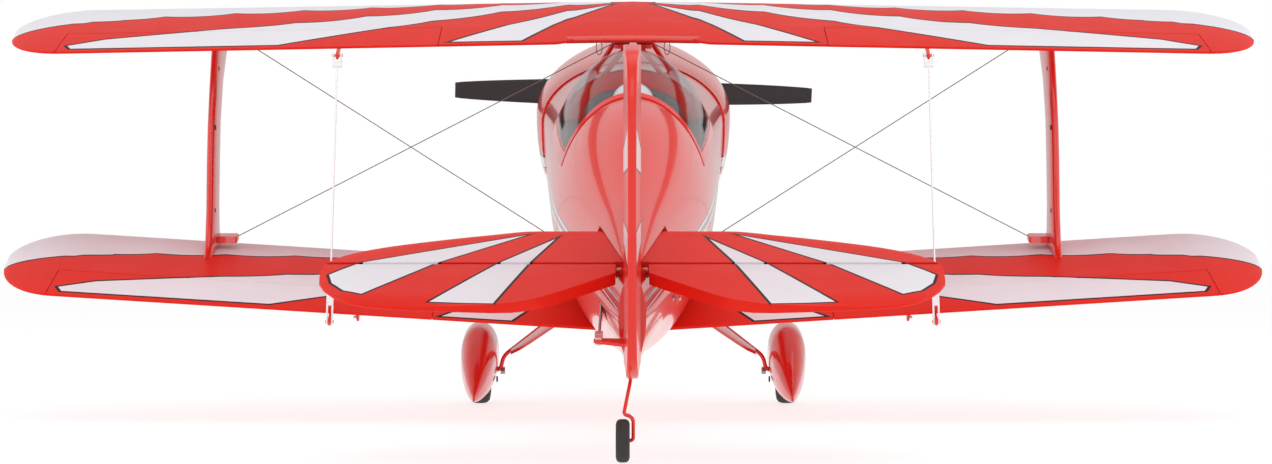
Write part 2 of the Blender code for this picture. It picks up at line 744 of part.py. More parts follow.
def make_fin_and_rudder():
    fin = side_plate(FIN_EDGE, -FIN_HALF, FIN_HALF)
    stab_clear = block((-10, 435, TAIL_LINE - 5), (10, STAB_HINGE + 1, TAIL_LINE + 4.4))
    piece("vertical_fin", fin, "red_film", cut=(body_shape(GAP, 400.0, 546.0), stab_clear))
    rings = []
    for height, front, aft in RUDDER_EDGE:
        chord = aft - front
        nose = 3.0
        half = FIN_HALF if chord > 25 else FIN_HALF * 0.8
        edge = half * (1 - chord / 100)
        s = RUDDER_HINGE + front
        rings.append([
            (0.3, s, height), (half, s + nose, height), (edge, s + chord, height),
            (-edge, s + chord, height), (-half, s + nose, height), (-0.3, s, height),
        ])
    arm_outline = ((-1, 551), (-1, 562), (-19.4, 554), (-20.4, 551.6), (-18.6, 550))
    low, high = RUDDER_HORN_LINE - 0.8, RUDDER_HORN_LINE + 0.8
    arm = loft([[(x, s, z) for x, s in arm_outline] for z in (low, high)])
    piece("rudder", loft(rings), "red_film", (0, RUDDER_HINGE, 0), joined=(arm,))


# Radio gear, power pack and cockpit


def make_tail_servos():
    elevator_pivot = (21.4, 200, 0)
    end = (elevator_pivot[1] + ELEVATOR_HORN[0], elevator_pivot[2] + ELEVATOR_HORN[1])
    piece("elevator_servo", block((-2, 186, -14), (19.8, 212, 12)), "case_plastic")
    outline = [(197, 0), (200, 3), (203, 0), (end[0] + 1.6, end[1] - 1), (end[0] - 1.6, end[1] - 1)]
    piece("elevator_servo_arm", side_plate(outline, 20.4, 22), "white_nylon", elevator_pivot)
    horn_end = (STAB_HINGE + ELEVATOR_HORN[0], TAIL_LINE + ELEVATOR_HORN[1])
    path = [(23.4, *end), (ELEVATOR_HORN_X + 2, *horn_end)]
    piece("elevator_pushrod", rod(path, 0.8, 8), "spring_wire", (23.4, *end))
    rudder_pivot = (2, 250, RUDDER_HORN_LINE - 3)
    piece("rudder_servo", block((-9, 238, -42), (13, 262, -13.4)), "case_plastic")
    x, s = rudder_pivot[0] + RUDDER_HORN[0], rudder_pivot[1] + RUDDER_HORN[1]
    corners = ((2, 247), (5, 250), (2, 253), (x - 1, s + 1.6), (x - 1, s - 1.6))
    arm = loft([[(a, b, z) for a, b in corners] for z in (rudder_pivot[2] - 0.8, rudder_pivot[2] + 0.8)])
    piece("rudder_servo_arm", arm, "white_nylon", rudder_pivot)
    horn_x, horn_s = RUDDER_HORN[0], RUDDER_HINGE + RUDDER_HORN[1]
    path = [(x, s, rudder_pivot[2] + 2), (horn_x, horn_s, RUDDER_HORN_LINE - 2)]
    piece("rudder_pushrod", rod(path, 0.8, 8), "spring_wire", path[0])


def make_power_pack():
    piece("battery", block((-18, 14, -62), (18, 112, -30)), "battery_wrap")
    piece("speed_controller", block((-14, 10, -22), (14, 62, -12)), "case_plastic")
    piece("receiver", block((-40, 195, -36), (-16, 232, -22)), "case_plastic")


def pilot_shape():
    """A seated bust in a plain round helmet."""
    rings = []
    for z, wide, deep, s in (
        (29, 26, 15, 205), (36, 28, 15, 205), (42, 22, 12, 204), (45, 9, 9, 203), (48, 11, 12, 201),
        (53, 14, 15, 200), (59, 14.5, 15.5, 200), (65, 12, 13, 200), (69, 7, 8, 200), (70.4, 1.5, 2, 200),
    ):
        ring = []
        for i in range(14):
            angle = math.tau * i / 14
            ring.append((wide * math.cos(angle), s + deep * math.sin(angle), z))
        rings.append(ring)
    return loft(rings)


def make_hatch():
    below = block((-90, 90, -120), (90, 290, SILL + GAP))
    piece(
        "canopy_glass", canopy_shape(0.0, HATCH_FRONT, HATCH_REAR), "clear_canopy",
        cut=(canopy_shape(-2.0, HATCH_FRONT - 1, HATCH_REAR + 1), below),
    )
    rings = []
    for s in (116, 160, 210, 258):
        wide = side_at(s, SILL) - 4.4
        low, high = SILL + 0.6, SILL + 3.6
        rings.append([(-wide, s, low), (wide, s, low), (wide, s, high), (-wide, s, high)])
    panel = loft([[(x, s, z) for x, z in ((-26, 29), (26, 29), (18, 48), (-18, 48))] for s in (132, 140)])
    piece("cockpit_floor_with_pilot", loft(rings), "cockpit_plastic", joined=(pilot_shape(), panel))


def main():
    for old in list(bpy.data.objects):
        bpy.data.objects.remove(old, do_unlink=True)
    make_fuselage()
    make_nose()
    make_propeller()
    make_wings()
    make_ailerons()
    make_aileron_links()
    make_aileron_servos()
    make_struts()
    make_wires()
    make_undercarriage()
    make_tail_wheel()
    make_tailplane()
    make_elevator()
    make_fin_and_rudder()
    make_tail_servos()
    make_power_pack()
    make_hatch()


main()
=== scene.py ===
"""Looks for the radio control biplane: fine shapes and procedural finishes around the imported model.

Shapes are laid out in millimetres on the aircraft's drawing axes: x to its right, s aft from the
firewall and z above the thrust line. The propeller's joint in the frame gives the stance on the floor.
"""

import json
from math import asin, atan2, copysign, cos, exp, hypot, pi, radians, sin, sqrt, tan, tau

import bmesh
import bpy
from mathutils import Matrix, Vector


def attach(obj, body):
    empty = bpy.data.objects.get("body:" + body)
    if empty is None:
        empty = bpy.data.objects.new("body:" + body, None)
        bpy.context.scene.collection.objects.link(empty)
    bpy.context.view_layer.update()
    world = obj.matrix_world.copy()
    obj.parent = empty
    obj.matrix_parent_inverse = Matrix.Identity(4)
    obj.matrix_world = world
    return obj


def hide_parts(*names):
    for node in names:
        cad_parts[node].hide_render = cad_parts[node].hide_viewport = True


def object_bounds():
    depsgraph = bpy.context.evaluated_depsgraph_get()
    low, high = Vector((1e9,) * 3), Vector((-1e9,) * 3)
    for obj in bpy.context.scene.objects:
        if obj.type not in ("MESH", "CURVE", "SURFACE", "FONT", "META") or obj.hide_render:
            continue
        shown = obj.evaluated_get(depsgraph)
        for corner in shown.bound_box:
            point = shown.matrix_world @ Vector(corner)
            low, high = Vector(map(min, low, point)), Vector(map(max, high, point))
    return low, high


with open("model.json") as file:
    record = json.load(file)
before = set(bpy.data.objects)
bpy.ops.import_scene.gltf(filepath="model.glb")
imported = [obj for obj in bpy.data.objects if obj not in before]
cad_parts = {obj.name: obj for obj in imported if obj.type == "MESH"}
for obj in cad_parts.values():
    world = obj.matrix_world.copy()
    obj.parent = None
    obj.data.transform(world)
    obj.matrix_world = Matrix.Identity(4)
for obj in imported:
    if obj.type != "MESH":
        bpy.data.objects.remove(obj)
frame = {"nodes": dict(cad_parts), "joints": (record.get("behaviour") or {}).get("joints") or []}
CAD_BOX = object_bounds()

MM = 0.001
JOINTS = {joint["name"]: joint for joint in frame["joints"]}
PROP_STATION = -155.0
THRUST_AXIS = Vector(JOINTS["propeller_spin"]["axis"])
PITCH = atan2(THRUST_AXIS.z, THRUST_AXIS.y)
FIREWALL = Vector(JOINTS["propeller_spin"]["pos_m"]) + THRUST_AXIS * PROP_STATION * MM
STANCE = Matrix.Translation(FIREWALL) @ Matrix.Rotation(PITCH, 4, "X")
FROM_WORLD = STANCE.inverted()


def drawn(point_m):
    """A frame position as (x, s, z) in millimetres on the drawing axes."""
    local = FROM_WORLD @ Vector(point_m) / MM
    return local.x, -local.y, local.z


# Driving dimensions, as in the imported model
SPAN = 840.0
CHORD = 156.0
WING_THICKNESS = 0.125
UPPER_NOSE = -8.0
UPPER_LINE = 88.0
SWEEP = 0.119
LOWER_NOSE = 100.0
LOWER_LINE = -83.6
DIHEDRAL = tan(radians(3.7))
TIP_START = 375.0
TIP_SPLIT = 0.48
HINGE_SHARE = 0.73
AILERON_INNER = 130.0
AILERON_OUTER = 378.0
RIB_PITCH = 46.0
RIB_SAG = 1.1
STRUT_X = 288.0
LINK_X = 195.0
LINK_HORN = (50.0, -10.0)
SERVO_X = 181.0
SERVO_HORN = (9.0, -17.0)
WIRE_LINE = UPPER_LINE - 11.3
STATIONS = (  # station, half width, height of the widest line, top, bottom
    (0, 66, 6, 50, -71),
    (60, 62, 5, 56, -85),
    (110, 59, 4, 60, -90),
    (265, 49, 0, 71, -88),
    (437, 24, 0, 43.5, -50),
    (546, 7.5, 1, 26, -27),
)
TOP_POWER = 1.95
BOTTOM_POWER = 2.9
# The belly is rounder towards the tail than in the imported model
BELLY_POWERS = ((0, 2.9), (120, 2.9), (265, 2.0), (350, 1.75), (437, 1.6), (546, 1.6))
SKIN = 2.5
HATCH_FRONT = 112.0
HATCH_REAR = 263.4
SILL = 26.6
CANOPY_TOP = (  # station, height
    (110, 60), (135, 75), (160, 85), (184, 88), (215, 86), (240, 80), (265, 71),
)
ELEVATOR_HINGE = drawn(JOINTS["elevator_hinge"]["pos_m"])
STAB_HINGE = ELEVATOR_HINGE[1]
TAIL_LINE = ELEVATOR_HINGE[2]
RUDDER_HINGE = drawn(JOINTS["rudder_hinge"]["pos_m"])[1]
WHEEL = drawn(JOINTS["main_wheel_right_spin"]["pos_m"])
TAIL_WHEEL = drawn(JOINTS["tail_wheel_spin"]["pos_m"])
ELEVATOR_DROOP = radians(2)
FIN_HALF = 4.6
LEG_TOP = (12, 41, -94)
LEG_FOOT = (95, 41, -160.5)
GAP = 0.35
BODY_END = 546.0
AXIS = 0.001  # radius at the middle of a turned piece, which closes to a point there
ORIGIN = (0, 0, 0)
FIT = 0.3  # clearance where a skin is cut to fit over the fuselage
TAIL_SLOT = 4.4  # half height of the slot that holds the tailplane
SHARP_ANGLE = radians(38)
SIDES = ((-1, "left"), (1, "right"))


# ---- shapes


def curve_through(rows, at):
    """A smooth (monotone cubic) value at a place, from (place, value) rows."""
    if at <= rows[0][0]:
        return rows[0][1]
    if at >= rows[-1][0]:
        return rows[-1][1]
    slopes = [(b[1] - a[1]) / (b[0] - a[0]) for a, b in zip(rows, rows[1:])]
    tangents = [slopes[0]]
    for a, b in zip(slopes, slopes[1:]):
        tangents.append(0.0 if a * b <= 0 else 2 * a * b / (a + b))
    tangents.append(slopes[-1])
    for i, (a, b) in enumerate(zip(rows, rows[1:])):
        if at <= b[0]:
            width = b[0] - a[0]
            t = (at - a[0]) / width
            return (
                (2 * t**3 - 3 * t**2 + 1) * a[1] + (t**3 - 2 * t**2 + t) * width * tangents[i]
                + (3 * t**2 - 2 * t**3) * b[1] + (t**3 - t**2) * width * tangents[i + 1]
            )
    return rows[-1][1]


def spread(first, last, count):
    return [first + (last - first) * i / (count - 1) for i in range(count)]


def signed_power(value, power):
    return copysign(abs(value) ** power, value)


def oval(sides, across, along=None, powers=(1, 1), first=0.0):
    """Points (a, b) round an oval, or a circle; powers below 1 square its corners."""
    along = across if along is None else along
    points = []
    for i in range(sides):
        angle = tau * (i + first) / sides
        a, b = signed_power(cos(angle), powers[0]), signed_power(sin(angle), powers[1])
        points.append((across * a, along * b))
    return points


def loft(rings, loop=False):
    """A tube through equal rings, capped at both ends or joined end to end."""
    count = len(rings[0])
    points = [point for ring in rings for point in ring]
    faces = []
    for i in range(len(rings) if loop else len(rings) - 1):
        near, far = i * count, (i + 1) % len(rings) * count
        for j in range(count):
            k = (j + 1) % count
            faces.append((near + j, near + k, far + k, far + j))
    if not loop:
        faces.append(tuple(range(count)))
        faces.append(tuple(range(len(points) - count, len(points))))
    return points, faces


def merged(*shapes):
    points, faces = [], []
    for some_points, some_faces in shapes:
        start = len(points)
        points += some_points
        faces += [tuple(start + i for i in face) for face in some_faces]
    return points, faces


def block(low, high):
    corners = ((low[0], low[1]), (high[0], low[1]), (high[0], high[1]), (low[0], high[1]))
    return level_plate(corners, low[2], high[2])


def level_plate(outline, low, high):
    return loft([[(x, s, z) for x, s in outline] for z in (low, high)])


def rounded_plate(outline, left, right, edge):
    """A side plate whose rim is rounded over by pulling its outer rings in."""
    middle_s = sum(s for s, _ in outline) / len(outline)
    middle_z = sum(z for _, z in outline) / len(outline)
    rings = []
    for x, inset in ((left, edge), (left + edge * 0.4, edge * 0.35), (left + edge, 0),
                     (right - edge, 0), (right - edge * 0.4, edge * 0.35), (right, edge)):
        ring = []
        for s, z in outline:
            reach = hypot(s - middle_s, z - middle_z)
            pull = 1 - inset / reach
            ring.append((x, middle_s + (s - middle_s) * pull, middle_z + (z - middle_z) * pull))
        rings.append(ring)
    return loft(rings)


def rod(path, radius, sides=14):
    path = [Vector(point) for point in path]
    rings = []
    across = None
    for i, point in enumerate(path):
        before = (point - path[i - 1]).normalized() if i else None
        after = (path[i + 1] - point).normalized() if i + 1 < len(path) else None
        along = ((before or after) + (after or before)).normalized()
        across = along.orthogonal().normalized() if across is None else across
        across = (across - across.dot(along) * along).normalized()
        up = along.cross(across)
        rings.append([tuple(point + a * across + b * up) for a, b in oval(sides, radius)])
    return loft(rings)


def rounded_path(points, radius, steps=6):
    """A path with its corners turned by short arcs."""
    points = [Vector(point) for point in points]
    path = [points[0]]
    for before, corner, after in zip(points, points[1:], points[2:]):
        reach = min(radius, (corner - before).length * 0.45, (after - corner).length * 0.45)
        start = corner + (before - corner).normalized() * reach
        end = corner + (after - corner).normalized() * reach
        for i in range(steps + 1):
            t = i / steps
            path.append((1 - t) ** 2 * start + 2 * t * (1 - t) * corner + t * t * end)
    path.append(points[-1])
    return [tuple(point) for point in path]


def turned(profile, centre, sides=48, axis="x"):
    """A ring or disc turned about x or s, from a closed profile of (radius, along)."""
    rings = []
    for c, d in oval(sides, 1):
        if axis == "x":
            rings.append([(centre[0] + a, centre[1] + r * c, centre[2] + r * d) for r, a in profile])
        else:
            rings.append([(centre[0] + r * c, centre[1] + a, centre[2] + r * d) for r, a in profile])
    return loft(rings, loop=True)


def disc(centre, radius, half, sides=48, dome=0.0):
    """A round plug along x, whose ends may be domed a little."""
    return turned([(AXIS, -half - dome), (radius, -half), (radius, half), (AXIS, half + dome)], centre, sides)


def evened(half, middle=()):
    """A turned profile that is the same on both sides of its middle."""
    return [*half, *middle, *((r, -a) for r, a in reversed(half))]


def ball(centre, radii, steps=14, sides=24):
    rings = []
    for i in range(1, steps):
        angle = pi * i / steps
        height = centre[2] - radii[2] * cos(angle)
        rings.append([(centre[0] + a, centre[1] + b, height)
                      for a, b in oval(sides, radii[0] * sin(angle), radii[1] * sin(angle))])
    return loft(rings)


def upright(rows, centre, sides=20):
    """A round shape about a vertical line, from (height, radius) rows."""
    return loft([[(centre[0] + a, centre[1] + b, centre[2] + high) for a, b in oval(sides, radius)]
                 for high, radius in rows])


def mirrored(shape):
    points, faces = shape
    return [(-x, s, z) for x, s, z in points], faces


def sided(shape, side):
    return shape if side > 0 else mirrored(shape)


# ---- finishes


class Sums:
    """Arithmetic on shader sockets and plain numbers in one material."""

    def __init__(self, tree):
        self.tree = tree

    def do(self, operation, *values):
        node = self.tree.nodes.new("ShaderNodeMath")
        node.operation = operation
        for socket, value in zip(node.inputs, values):
            if isinstance(value, (int, float)):
                socket.default_value = value
            else:
                link(value, socket)
        return node.outputs[0]

    def line(self, x, y, start, end):
        """Distance to the left of the line from start to end."""
        dx, dy = end[0] - start[0], end[1] - start[1]
        length = hypot(dx, dy)
        a, b = -dy / length, dx / length
        rest = -(a * start[0] + b * start[1])
        return self.do("MULTIPLY_ADD", x, a, self.do("MULTIPLY_ADD", y, b, rest))

    def polygon(self, x, y, corners):
        """Distance inside a convex outline, negative outside it."""
        area = sum(a[0] * b[1] - b[0] * a[1] for a, b in zip(corners, corners[1:] + corners[:1]))
        ordered = corners if area > 0 else corners[::-1]
        inside = None
        for a, b in zip(ordered, ordered[1:] + ordered[:1]):
            distance = self.line(x, y, a, b)
            inside = distance if inside is None else self.do("MINIMUM", inside, distance)
        return inside

    def union(self, distances):
        whole = distances[0]
        for distance in distances[1:]:
            whole = self.do("MAXIMUM", whole, distance)
        return whole

    def step(self, distance, softness=0.15):
        """0 to 1 across an edge, soft over a fraction of a millimetre."""
        near = self.do("MINIMUM", self.do("MAXIMUM", distance, -softness), softness)
        return self.do("MULTIPLY_ADD", near, 0.5 / softness, 0.5)


def link(source, socket):
    socket.id_data.links.new(source, socket)


def new_material(name):
    made = bpy.data.materials.new(name)
    made.use_nodes = True
    return made, made.node_tree, made.node_tree.nodes["Principled BSDF"]


def put(node, **values):
    """Sets a node's sockets; an underscore stands for a space in a socket's name."""
    for name, value in values.items():
        node.inputs[name.replace("_", " ")].default_value = value


def drawing_axes(tree):
    """x, s and z in millimetres on the drawing axes, from the object's own coordinates."""
    coordinates = tree.nodes.new("ShaderNodeTexCoord")
    mapping = tree.nodes.new("ShaderNodeMapping")
    mapping.vector_type = "TEXTURE"
    put(mapping, Location=FIREWALL, Rotation=(PITCH, 0, 0), Scale=(MM, MM, MM))
    link(coordinates.outputs["Object"], mapping.inputs["Vector"])
    parts = tree.nodes.new("ShaderNodeSeparateXYZ")
    link(mapping.outputs["Vector"], parts.inputs[0])
    sums = Sums(tree)
    x, y, z = parts.outputs
    return sums, x, sums.do("MULTIPLY", y, -1.0), z, mapping.outputs["Vector"]


def noise(tree, vector, scale, detail=3.0):
    node = tree.nodes.new("ShaderNodeTexNoise")
    put(node, Scale=scale, Detail=detail)
    link(vector, node.inputs["Vector"])
    return node.outputs["Fac"]


def mixed_colour(tree, factor, first, second):
    node = tree.nodes.new("ShaderNodeMix")
    node.data_type = "RGBA"
    for name, value in (("Factor", factor), ("A", first), ("B", second)):
        if isinstance(value, tuple):
            node.inputs[name].default_value = (*value, 1)
        else:
            link(value, node.inputs[name])
    return node.outputs["Result"]


def vary(tree, shader, vector, roughness, spread_by, scale, bump, bump_scale):
    """Uneven gloss and a fine surface texture."""
    gloss = Sums(tree).do("MULTIPLY_ADD", noise(tree, vector, scale), spread_by, roughness - spread_by / 2)
    link(gloss, shader.inputs["Roughness"])
    if bump:
        node = tree.nodes.new("ShaderNodeBump")
        put(node, Strength=bump, Distance=BUMP_DEPTH)
        link(noise(tree, vector, bump_scale, 4.0), node.inputs["Height"])
        link(node.outputs["Normal"], shader.inputs["Normal"])


BUMP_DEPTH = 0.0003
RED = (0.72, 0.016, 0.008)
RED_LIGHT = (0.80, 0.024, 0.012)
WHITE = (0.80, 0.775, 0.83)
WHITE_LIGHT = (0.86, 0.84, 0.88)
INK = (0.022, 0.012, 0.014)
SEAM = (0.13, 0.012, 0.012)


def film(name, pattern=None, pin=1.1, coat=0.03, roughness=0.45, panels=None):
    """Red covering film with white shapes edged by a dark pinstripe.

    pattern(sums, x, s, z) gives the distance inside the white shapes; panels gives the distance
    from thin dark seams."""
    made, tree, shader = new_material(name)
    sums, x, s, z, vector = drawing_axes(tree)
    colour = mixed_colour(tree, noise(tree, vector, 0.012, 2.0), RED, RED_LIGHT)
    if pattern:
        inside = pattern(sums, x, s, z)
        white = mixed_colour(tree, noise(tree, vector, 0.03, 2.0), WHITE, WHITE_LIGHT)
        colour = mixed_colour(tree, sums.step(inside), colour, white)
        ring = sums.do("SUBTRACT", pin, sums.do("ABSOLUTE", inside))
        colour = mixed_colour(tree, sums.step(ring), colour, INK)
    if panels:
        colour = mixed_colour(tree, sums.step(panels(sums, s, z)), colour, SEAM)
    link(colour, shader.inputs["Base Color"])
    put(shader, Coat_Weight=coat, Coat_Roughness=0.06, Specular_IOR_Level=0.3 if coat > 0.2 else 0.08)
    vary(tree, shader, vector, roughness, 0.08, 0.25, 0.06, 1.6)
    return made


def plain(name, colour, roughness, metallic=0.0, grain=0.6, second=None, bump=0.1, coat=0.0):
    """One moulded or metal finish with uneven tone, gloss and a fine texture."""
    made, tree, shader = new_material(name)
    vector = drawing_axes(tree)[-1]
    other = second or tuple(min(1.0, c * 1.35 + 0.004) for c in colour)
    link(mixed_colour(tree, noise(tree, vector, grain), colour, other), shader.inputs["Base Color"])
    put(shader, Metallic=metallic, Coat_Weight=coat)
    vary(tree, shader, vector, roughness, 0.12, grain * 2, bump, grain * 5)
    return made


# Paint scheme outlines. Wing shapes are (span, aft of the nose), tail shapes are (span, s),
# and fin and side shapes are (s, z).
WING_RAYS = (
    [(15, 6.8), (15, 25.6), (235, 151.5), (365, 151.5)],
    [(214, 89), (351, 129.5), (374, 143.5), (370, 151.5), (235, 151.5), (214, 139.5)],
    [(60, -20), (128, 25), (175, 40.5), (262, 56), (440, 88), (440, -20)],
    [(300, 0), (350, 73), (440, 110), (440, 0)],
)
UPPER_ROOT_RAY = [(11, 30), (74, 151.5), (124, 151.5)]
LOWER_ROOT_RAY = [(17, 30), (78, 154), (126, 154)]
TAIL_RAYS = (
    [(41, 461), (71, 596), (106, 590)],
    [(56.5, 454), (141, 576), (152, 569), (159.5, 556), (162.5, 542), (146, 522), (124, 505)],
)
FIN_RAYS = (
    [(462, 58), (597, 115), (599, 94)],
    [(470, 48), (599, 61), (597, 42)],
)
SIDE_RAYS = (
    [(-140, -46), (-140, -60), (265, -10.5), (265, -7)],
    [(262, -10.5), (262, -7), (548, 7), (548, 5)],
    [(-140, -30), (-140, -41), (265, -4), (265, -0.5)],
    [(262, -4), (262, -0.5), (548, 11), (548, 9.4)],
)


def rays(sums, x, y, shapes):
    return sums.union([sums.polygon(x, y, shape) for shape in shapes])


def upper_pattern(sums, x, s, z):
    span = sums.do("ABSOLUTE", x)
    nose = sums.do("MULTIPLY_ADD", span, SWEEP, UPPER_NOSE)
    inside = rays(sums, span, sums.do("SUBTRACT", s, nose), (UPPER_ROOT_RAY, *WING_RAYS))
    return sums.do("MINIMUM", inside, sums.do("SUBTRACT", z, UPPER_LINE - 1))


def lower_pattern(sums, x, s, z):
    span = sums.do("ABSOLUTE", x)
    inside = rays(sums, span, sums.do("SUBTRACT", s, LOWER_NOSE), (LOWER_ROOT_RAY, *WING_RAYS))
    line = sums.do("MULTIPLY_ADD", span, DIHEDRAL, LOWER_LINE - 1)
    return sums.do("MINIMUM", inside, sums.do("SUBTRACT", z, line))


def tail_pattern(sums, x, s, z):
    inside = rays(sums, sums.do("ABSOLUTE", x), s, TAIL_RAYS)
    aft = sums.do("MAXIMUM", sums.do("SUBTRACT", s, STAB_HINGE), 0.0)
    above = sums.do("MULTIPLY_ADD", aft, tan(ELEVATOR_DROOP), sums.do("SUBTRACT", z, TAIL_LINE))
    return sums.do("MINIMUM", inside, above)


def fin_pattern(sums, x, s, z):
    inside = rays(sums, s, z, FIN_RAYS)
    side = sums.do("SUBTRACT", sums.do("ABSOLUTE", x), 1.1)
    return sums.do("MINIMUM", inside, side)


def body_pattern(sums, x, s, z):
    return sums.do("MINIMUM", rays(sums, s, z, SIDE_RAYS), sums.do("SUBTRACT", BODY_END - 3, s))


def body_panels(sums, s, z):
    """Thin seams along the hatch's lower lip, which turns up at its rear end."""
    seams = []
    for start, end in (((112, 18), (252, 20)), ((252, 20), (268, 40))):
        seam = sums.do("SUBTRACT", 0.3, sums.do("ABSOLUTE", sums.line(s, z, start, end)))
        ends = sums.do("MINIMUM", sums.do("SUBTRACT", end[0], s), sums.do("SUBTRACT", s, start[0]))
        seams.append(sums.do("MINIMUM", seam, ends))
    return sums.union(seams)


def glass_finish():
    """Clear moulded plastic: see-through head on and mirror-like at a glance."""
    made, tree, shader = new_material("clear_canopy")
    tree.nodes.remove(shader)
    sums, _, _, _, vector = drawing_axes(tree)
    clear, gloss, weight, mix = (tree.nodes.new("ShaderNode" + kind) for kind in (
        "BsdfTransparent", "BsdfGlossy", "LayerWeight", "MixShader"))
    put(clear, Color=(0.975, 0.98, 0.985, 1))
    put(weight, Blend=0.5)
    haze = noise(tree, vector, 0.05, 2.0)
    link(sums.do("MULTIPLY_ADD", haze, 0.04, 0.02), gloss.inputs["Roughness"])
    edge = sums.do("POWER", weight.outputs["Facing"], 5.0)
    link(sums.do("MULTIPLY_ADD", edge, 0.6, 0.045), mix.inputs[0])
    link(clear.outputs[0], mix.inputs[1])
    link(gloss.outputs[0], mix.inputs[2])
    link(mix.outputs[0], tree.nodes["Material Output"].inputs["Surface"])
    return made


FILM_UPPER = film("film_upper_wing", upper_pattern)
FILM_LOWER = film("film_lower_wing", lower_pattern)
FILM_TAIL = film("film_tail", tail_pattern, pin=0.8)
FILM_FIN = film("film_fin", fin_pattern, pin=0.7, coat=0.35, roughness=0.35)
FILM_BODY = film("gloss_fuselage", body_pattern, pin=0.55, coat=0.6, roughness=0.25, panels=body_panels)
FILM_COWL = film("gloss_cowl", body_pattern, pin=0.55, coat=0.6, roughness=0.25)
GLOSS_RED = film("gloss_red", coat=0.7, roughness=0.22)
SATIN_RED = film("satin_red", coat=0.4, roughness=0.3)
BLACK_NYLON = plain("black_nylon", (0.011, 0.011, 0.012), 0.42, grain=0.5, bump=0.25)
FOAM_TYRE = plain("foam_tyre", (0.018, 0.018, 0.018), 0.85, grain=1.2, second=(0.05, 0.048, 0.046), bump=0.6)
WHITE_NYLON = plain("white_nylon", (0.80, 0.78, 0.80), 0.35, grain=0.3, second=(0.88, 0.87, 0.88))
STEEL = plain("spring_steel", (0.32, 0.32, 0.33), 0.35, 1.0, grain=1.0)
RIGGING = plain("rigging_wire", (0.16, 0.16, 0.17), 0.5, grain=2.0)
LINK_WIRE = plain("polished_link_wire", (0.72, 0.72, 0.74), 0.35, 0.3, grain=1.0)
ALUMINIUM = plain("motor_aluminium", (0.36, 0.36, 0.38), 0.32, 1.0, grain=0.8)
COCKPIT = plain("cockpit_plastic", (0.06, 0.06, 0.066), 0.6, grain=0.5, second=(0.12, 0.12, 0.13), bump=0.3)
PLYWOOD = plain("birch_plywood", (0.50, 0.33, 0.17), 0.6, grain=0.15, second=(0.66, 0.47, 0.27), bump=0.3)
WRAP = plain("battery_wrap", (0.03, 0.05, 0.16), 0.4, grain=0.2, coat=0.4)
CASE = plain("black_case", (0.02, 0.02, 0.023), 0.5, grain=0.6, bump=0.3)
BRASS = plain("link_ball", (0.42, 0.20, 0.09), 0.35, 0.8, grain=1.0)
HELMET = plain("pilot_helmet", (0.74, 0.77, 0.82), 0.25, grain=0.08, coat=0.7, second=(0.80, 0.82, 0.86))
SUIT = plain("pilot_suit", (0.16, 0.10, 0.12), 0.75, grain=0.6, bump=0.5)
FACE = plain("pilot_face", (0.62, 0.40, 0.29), 0.5, grain=0.2, second=(0.68, 0.45, 0.33))
VISOR = plain("pilot_visor", (0.015, 0.016, 0.02), 0.12, grain=0.1, coat=1.0, bump=0.0)
GLASS = glass_finish()


# ---- objects


def mesh_object(name, shape):
    points, faces = shape
    builder = bmesh.new()
    made = [builder.verts.new(STANCE @ (Vector((x, -s, z)) * MM)) for x, s, z in points]
    for face in faces:
        builder.faces.new([made[i] for i in face])
    bmesh.ops.remove_doubles(builder, verts=builder.verts, dist=1e-7)
    bmesh.ops.dissolve_degenerate(builder, edges=builder.edges, dist=1e-7)
    loose = [edge for edge in builder.edges if not edge.link_faces]
    bmesh.ops.delete(builder, geom=loose, context="EDGES")
    bmesh.ops.triangulate(builder, faces=[face for face in builder.faces if len(face.verts) > 4])
    bmesh.ops.recalc_face_normals(builder, faces=builder.faces)
    mesh = bpy.data.meshes.new(name)
    builder.to_mesh(mesh)
    builder.free()
    result = bpy.data.objects.new(name, mesh)
    bpy.context.scene.collection.objects.link(result)
    return result


def piece(name, shape, finish, body, slot, replaces=(), cut=()):
    """One visible piece, with any cutters applied to its mesh, riding on a body."""
    result = mesh_object(name, shape)
    tools = []
    for i, cutter in enumerate(cut):
        tool = mesh_object(f"{name}_cutter_{i}", cutter)
        modifier = result.modifiers.new(tool.name, "BOOLEAN")
        modifier.operation = "DIFFERENCE"
        modifier.object = tool
        tools.append(tool)
    if tools:
        graph = bpy.context.evaluated_depsgraph_get()
        mesh = bpy.data.meshes.new_from_object(result.evaluated_get(graph))
        result.modifiers.clear()
        result.data = mesh
        for tool in tools:
            bpy.data.objects.remove(tool, do_unlink=True)
    result.data.materials.clear()
    result.data.materials.append(finish)
    result.data.shade_smooth()
    result.data.set_sharp_from_angle(angle=SHARP_ANGLE)
    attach(result, body)
    if replaces:
        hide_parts(*replaces)
    return result


def pair(name, shape, finish, body, slot, replaces=None, cut=()):
    """A piece on the left and its mirror image on the right; {} in a name stands for the side."""
    for side, word in SIDES:
        nodes = [replaces.format(word)] if replaces else ()
        tools = [sided(tool, side) for tool in cut]
        piece(name.format(word), sided(shape, side), finish, body.format(word), slot, nodes, tools)


def refinish(finish, *nodes):
    """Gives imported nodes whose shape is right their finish."""
    for name in nodes:
        node = frame["nodes"][name]
        node.data.materials.clear()
        node.data.materials.append(finish)


# ---- wings


def leading_edge(x, upper):
    return UPPER_NOSE + SWEEP * abs(x) if upper else LOWER_NOSE


def wing_line(x, upper):
    return UPPER_LINE if upper else LOWER_LINE + DIHEDRAL * abs(x)


def half_thickness(share, thickness):
    """A common aerofoil's half depth along its chord, with a slightly thick trailing edge."""
    curve = 0.2969 * sqrt(share) - 0.126 * share - 0.3516 * share**2 + 0.2843 * share**3 - 0.1015 * share**4
    return 5 * thickness * curve + 0.004 * share


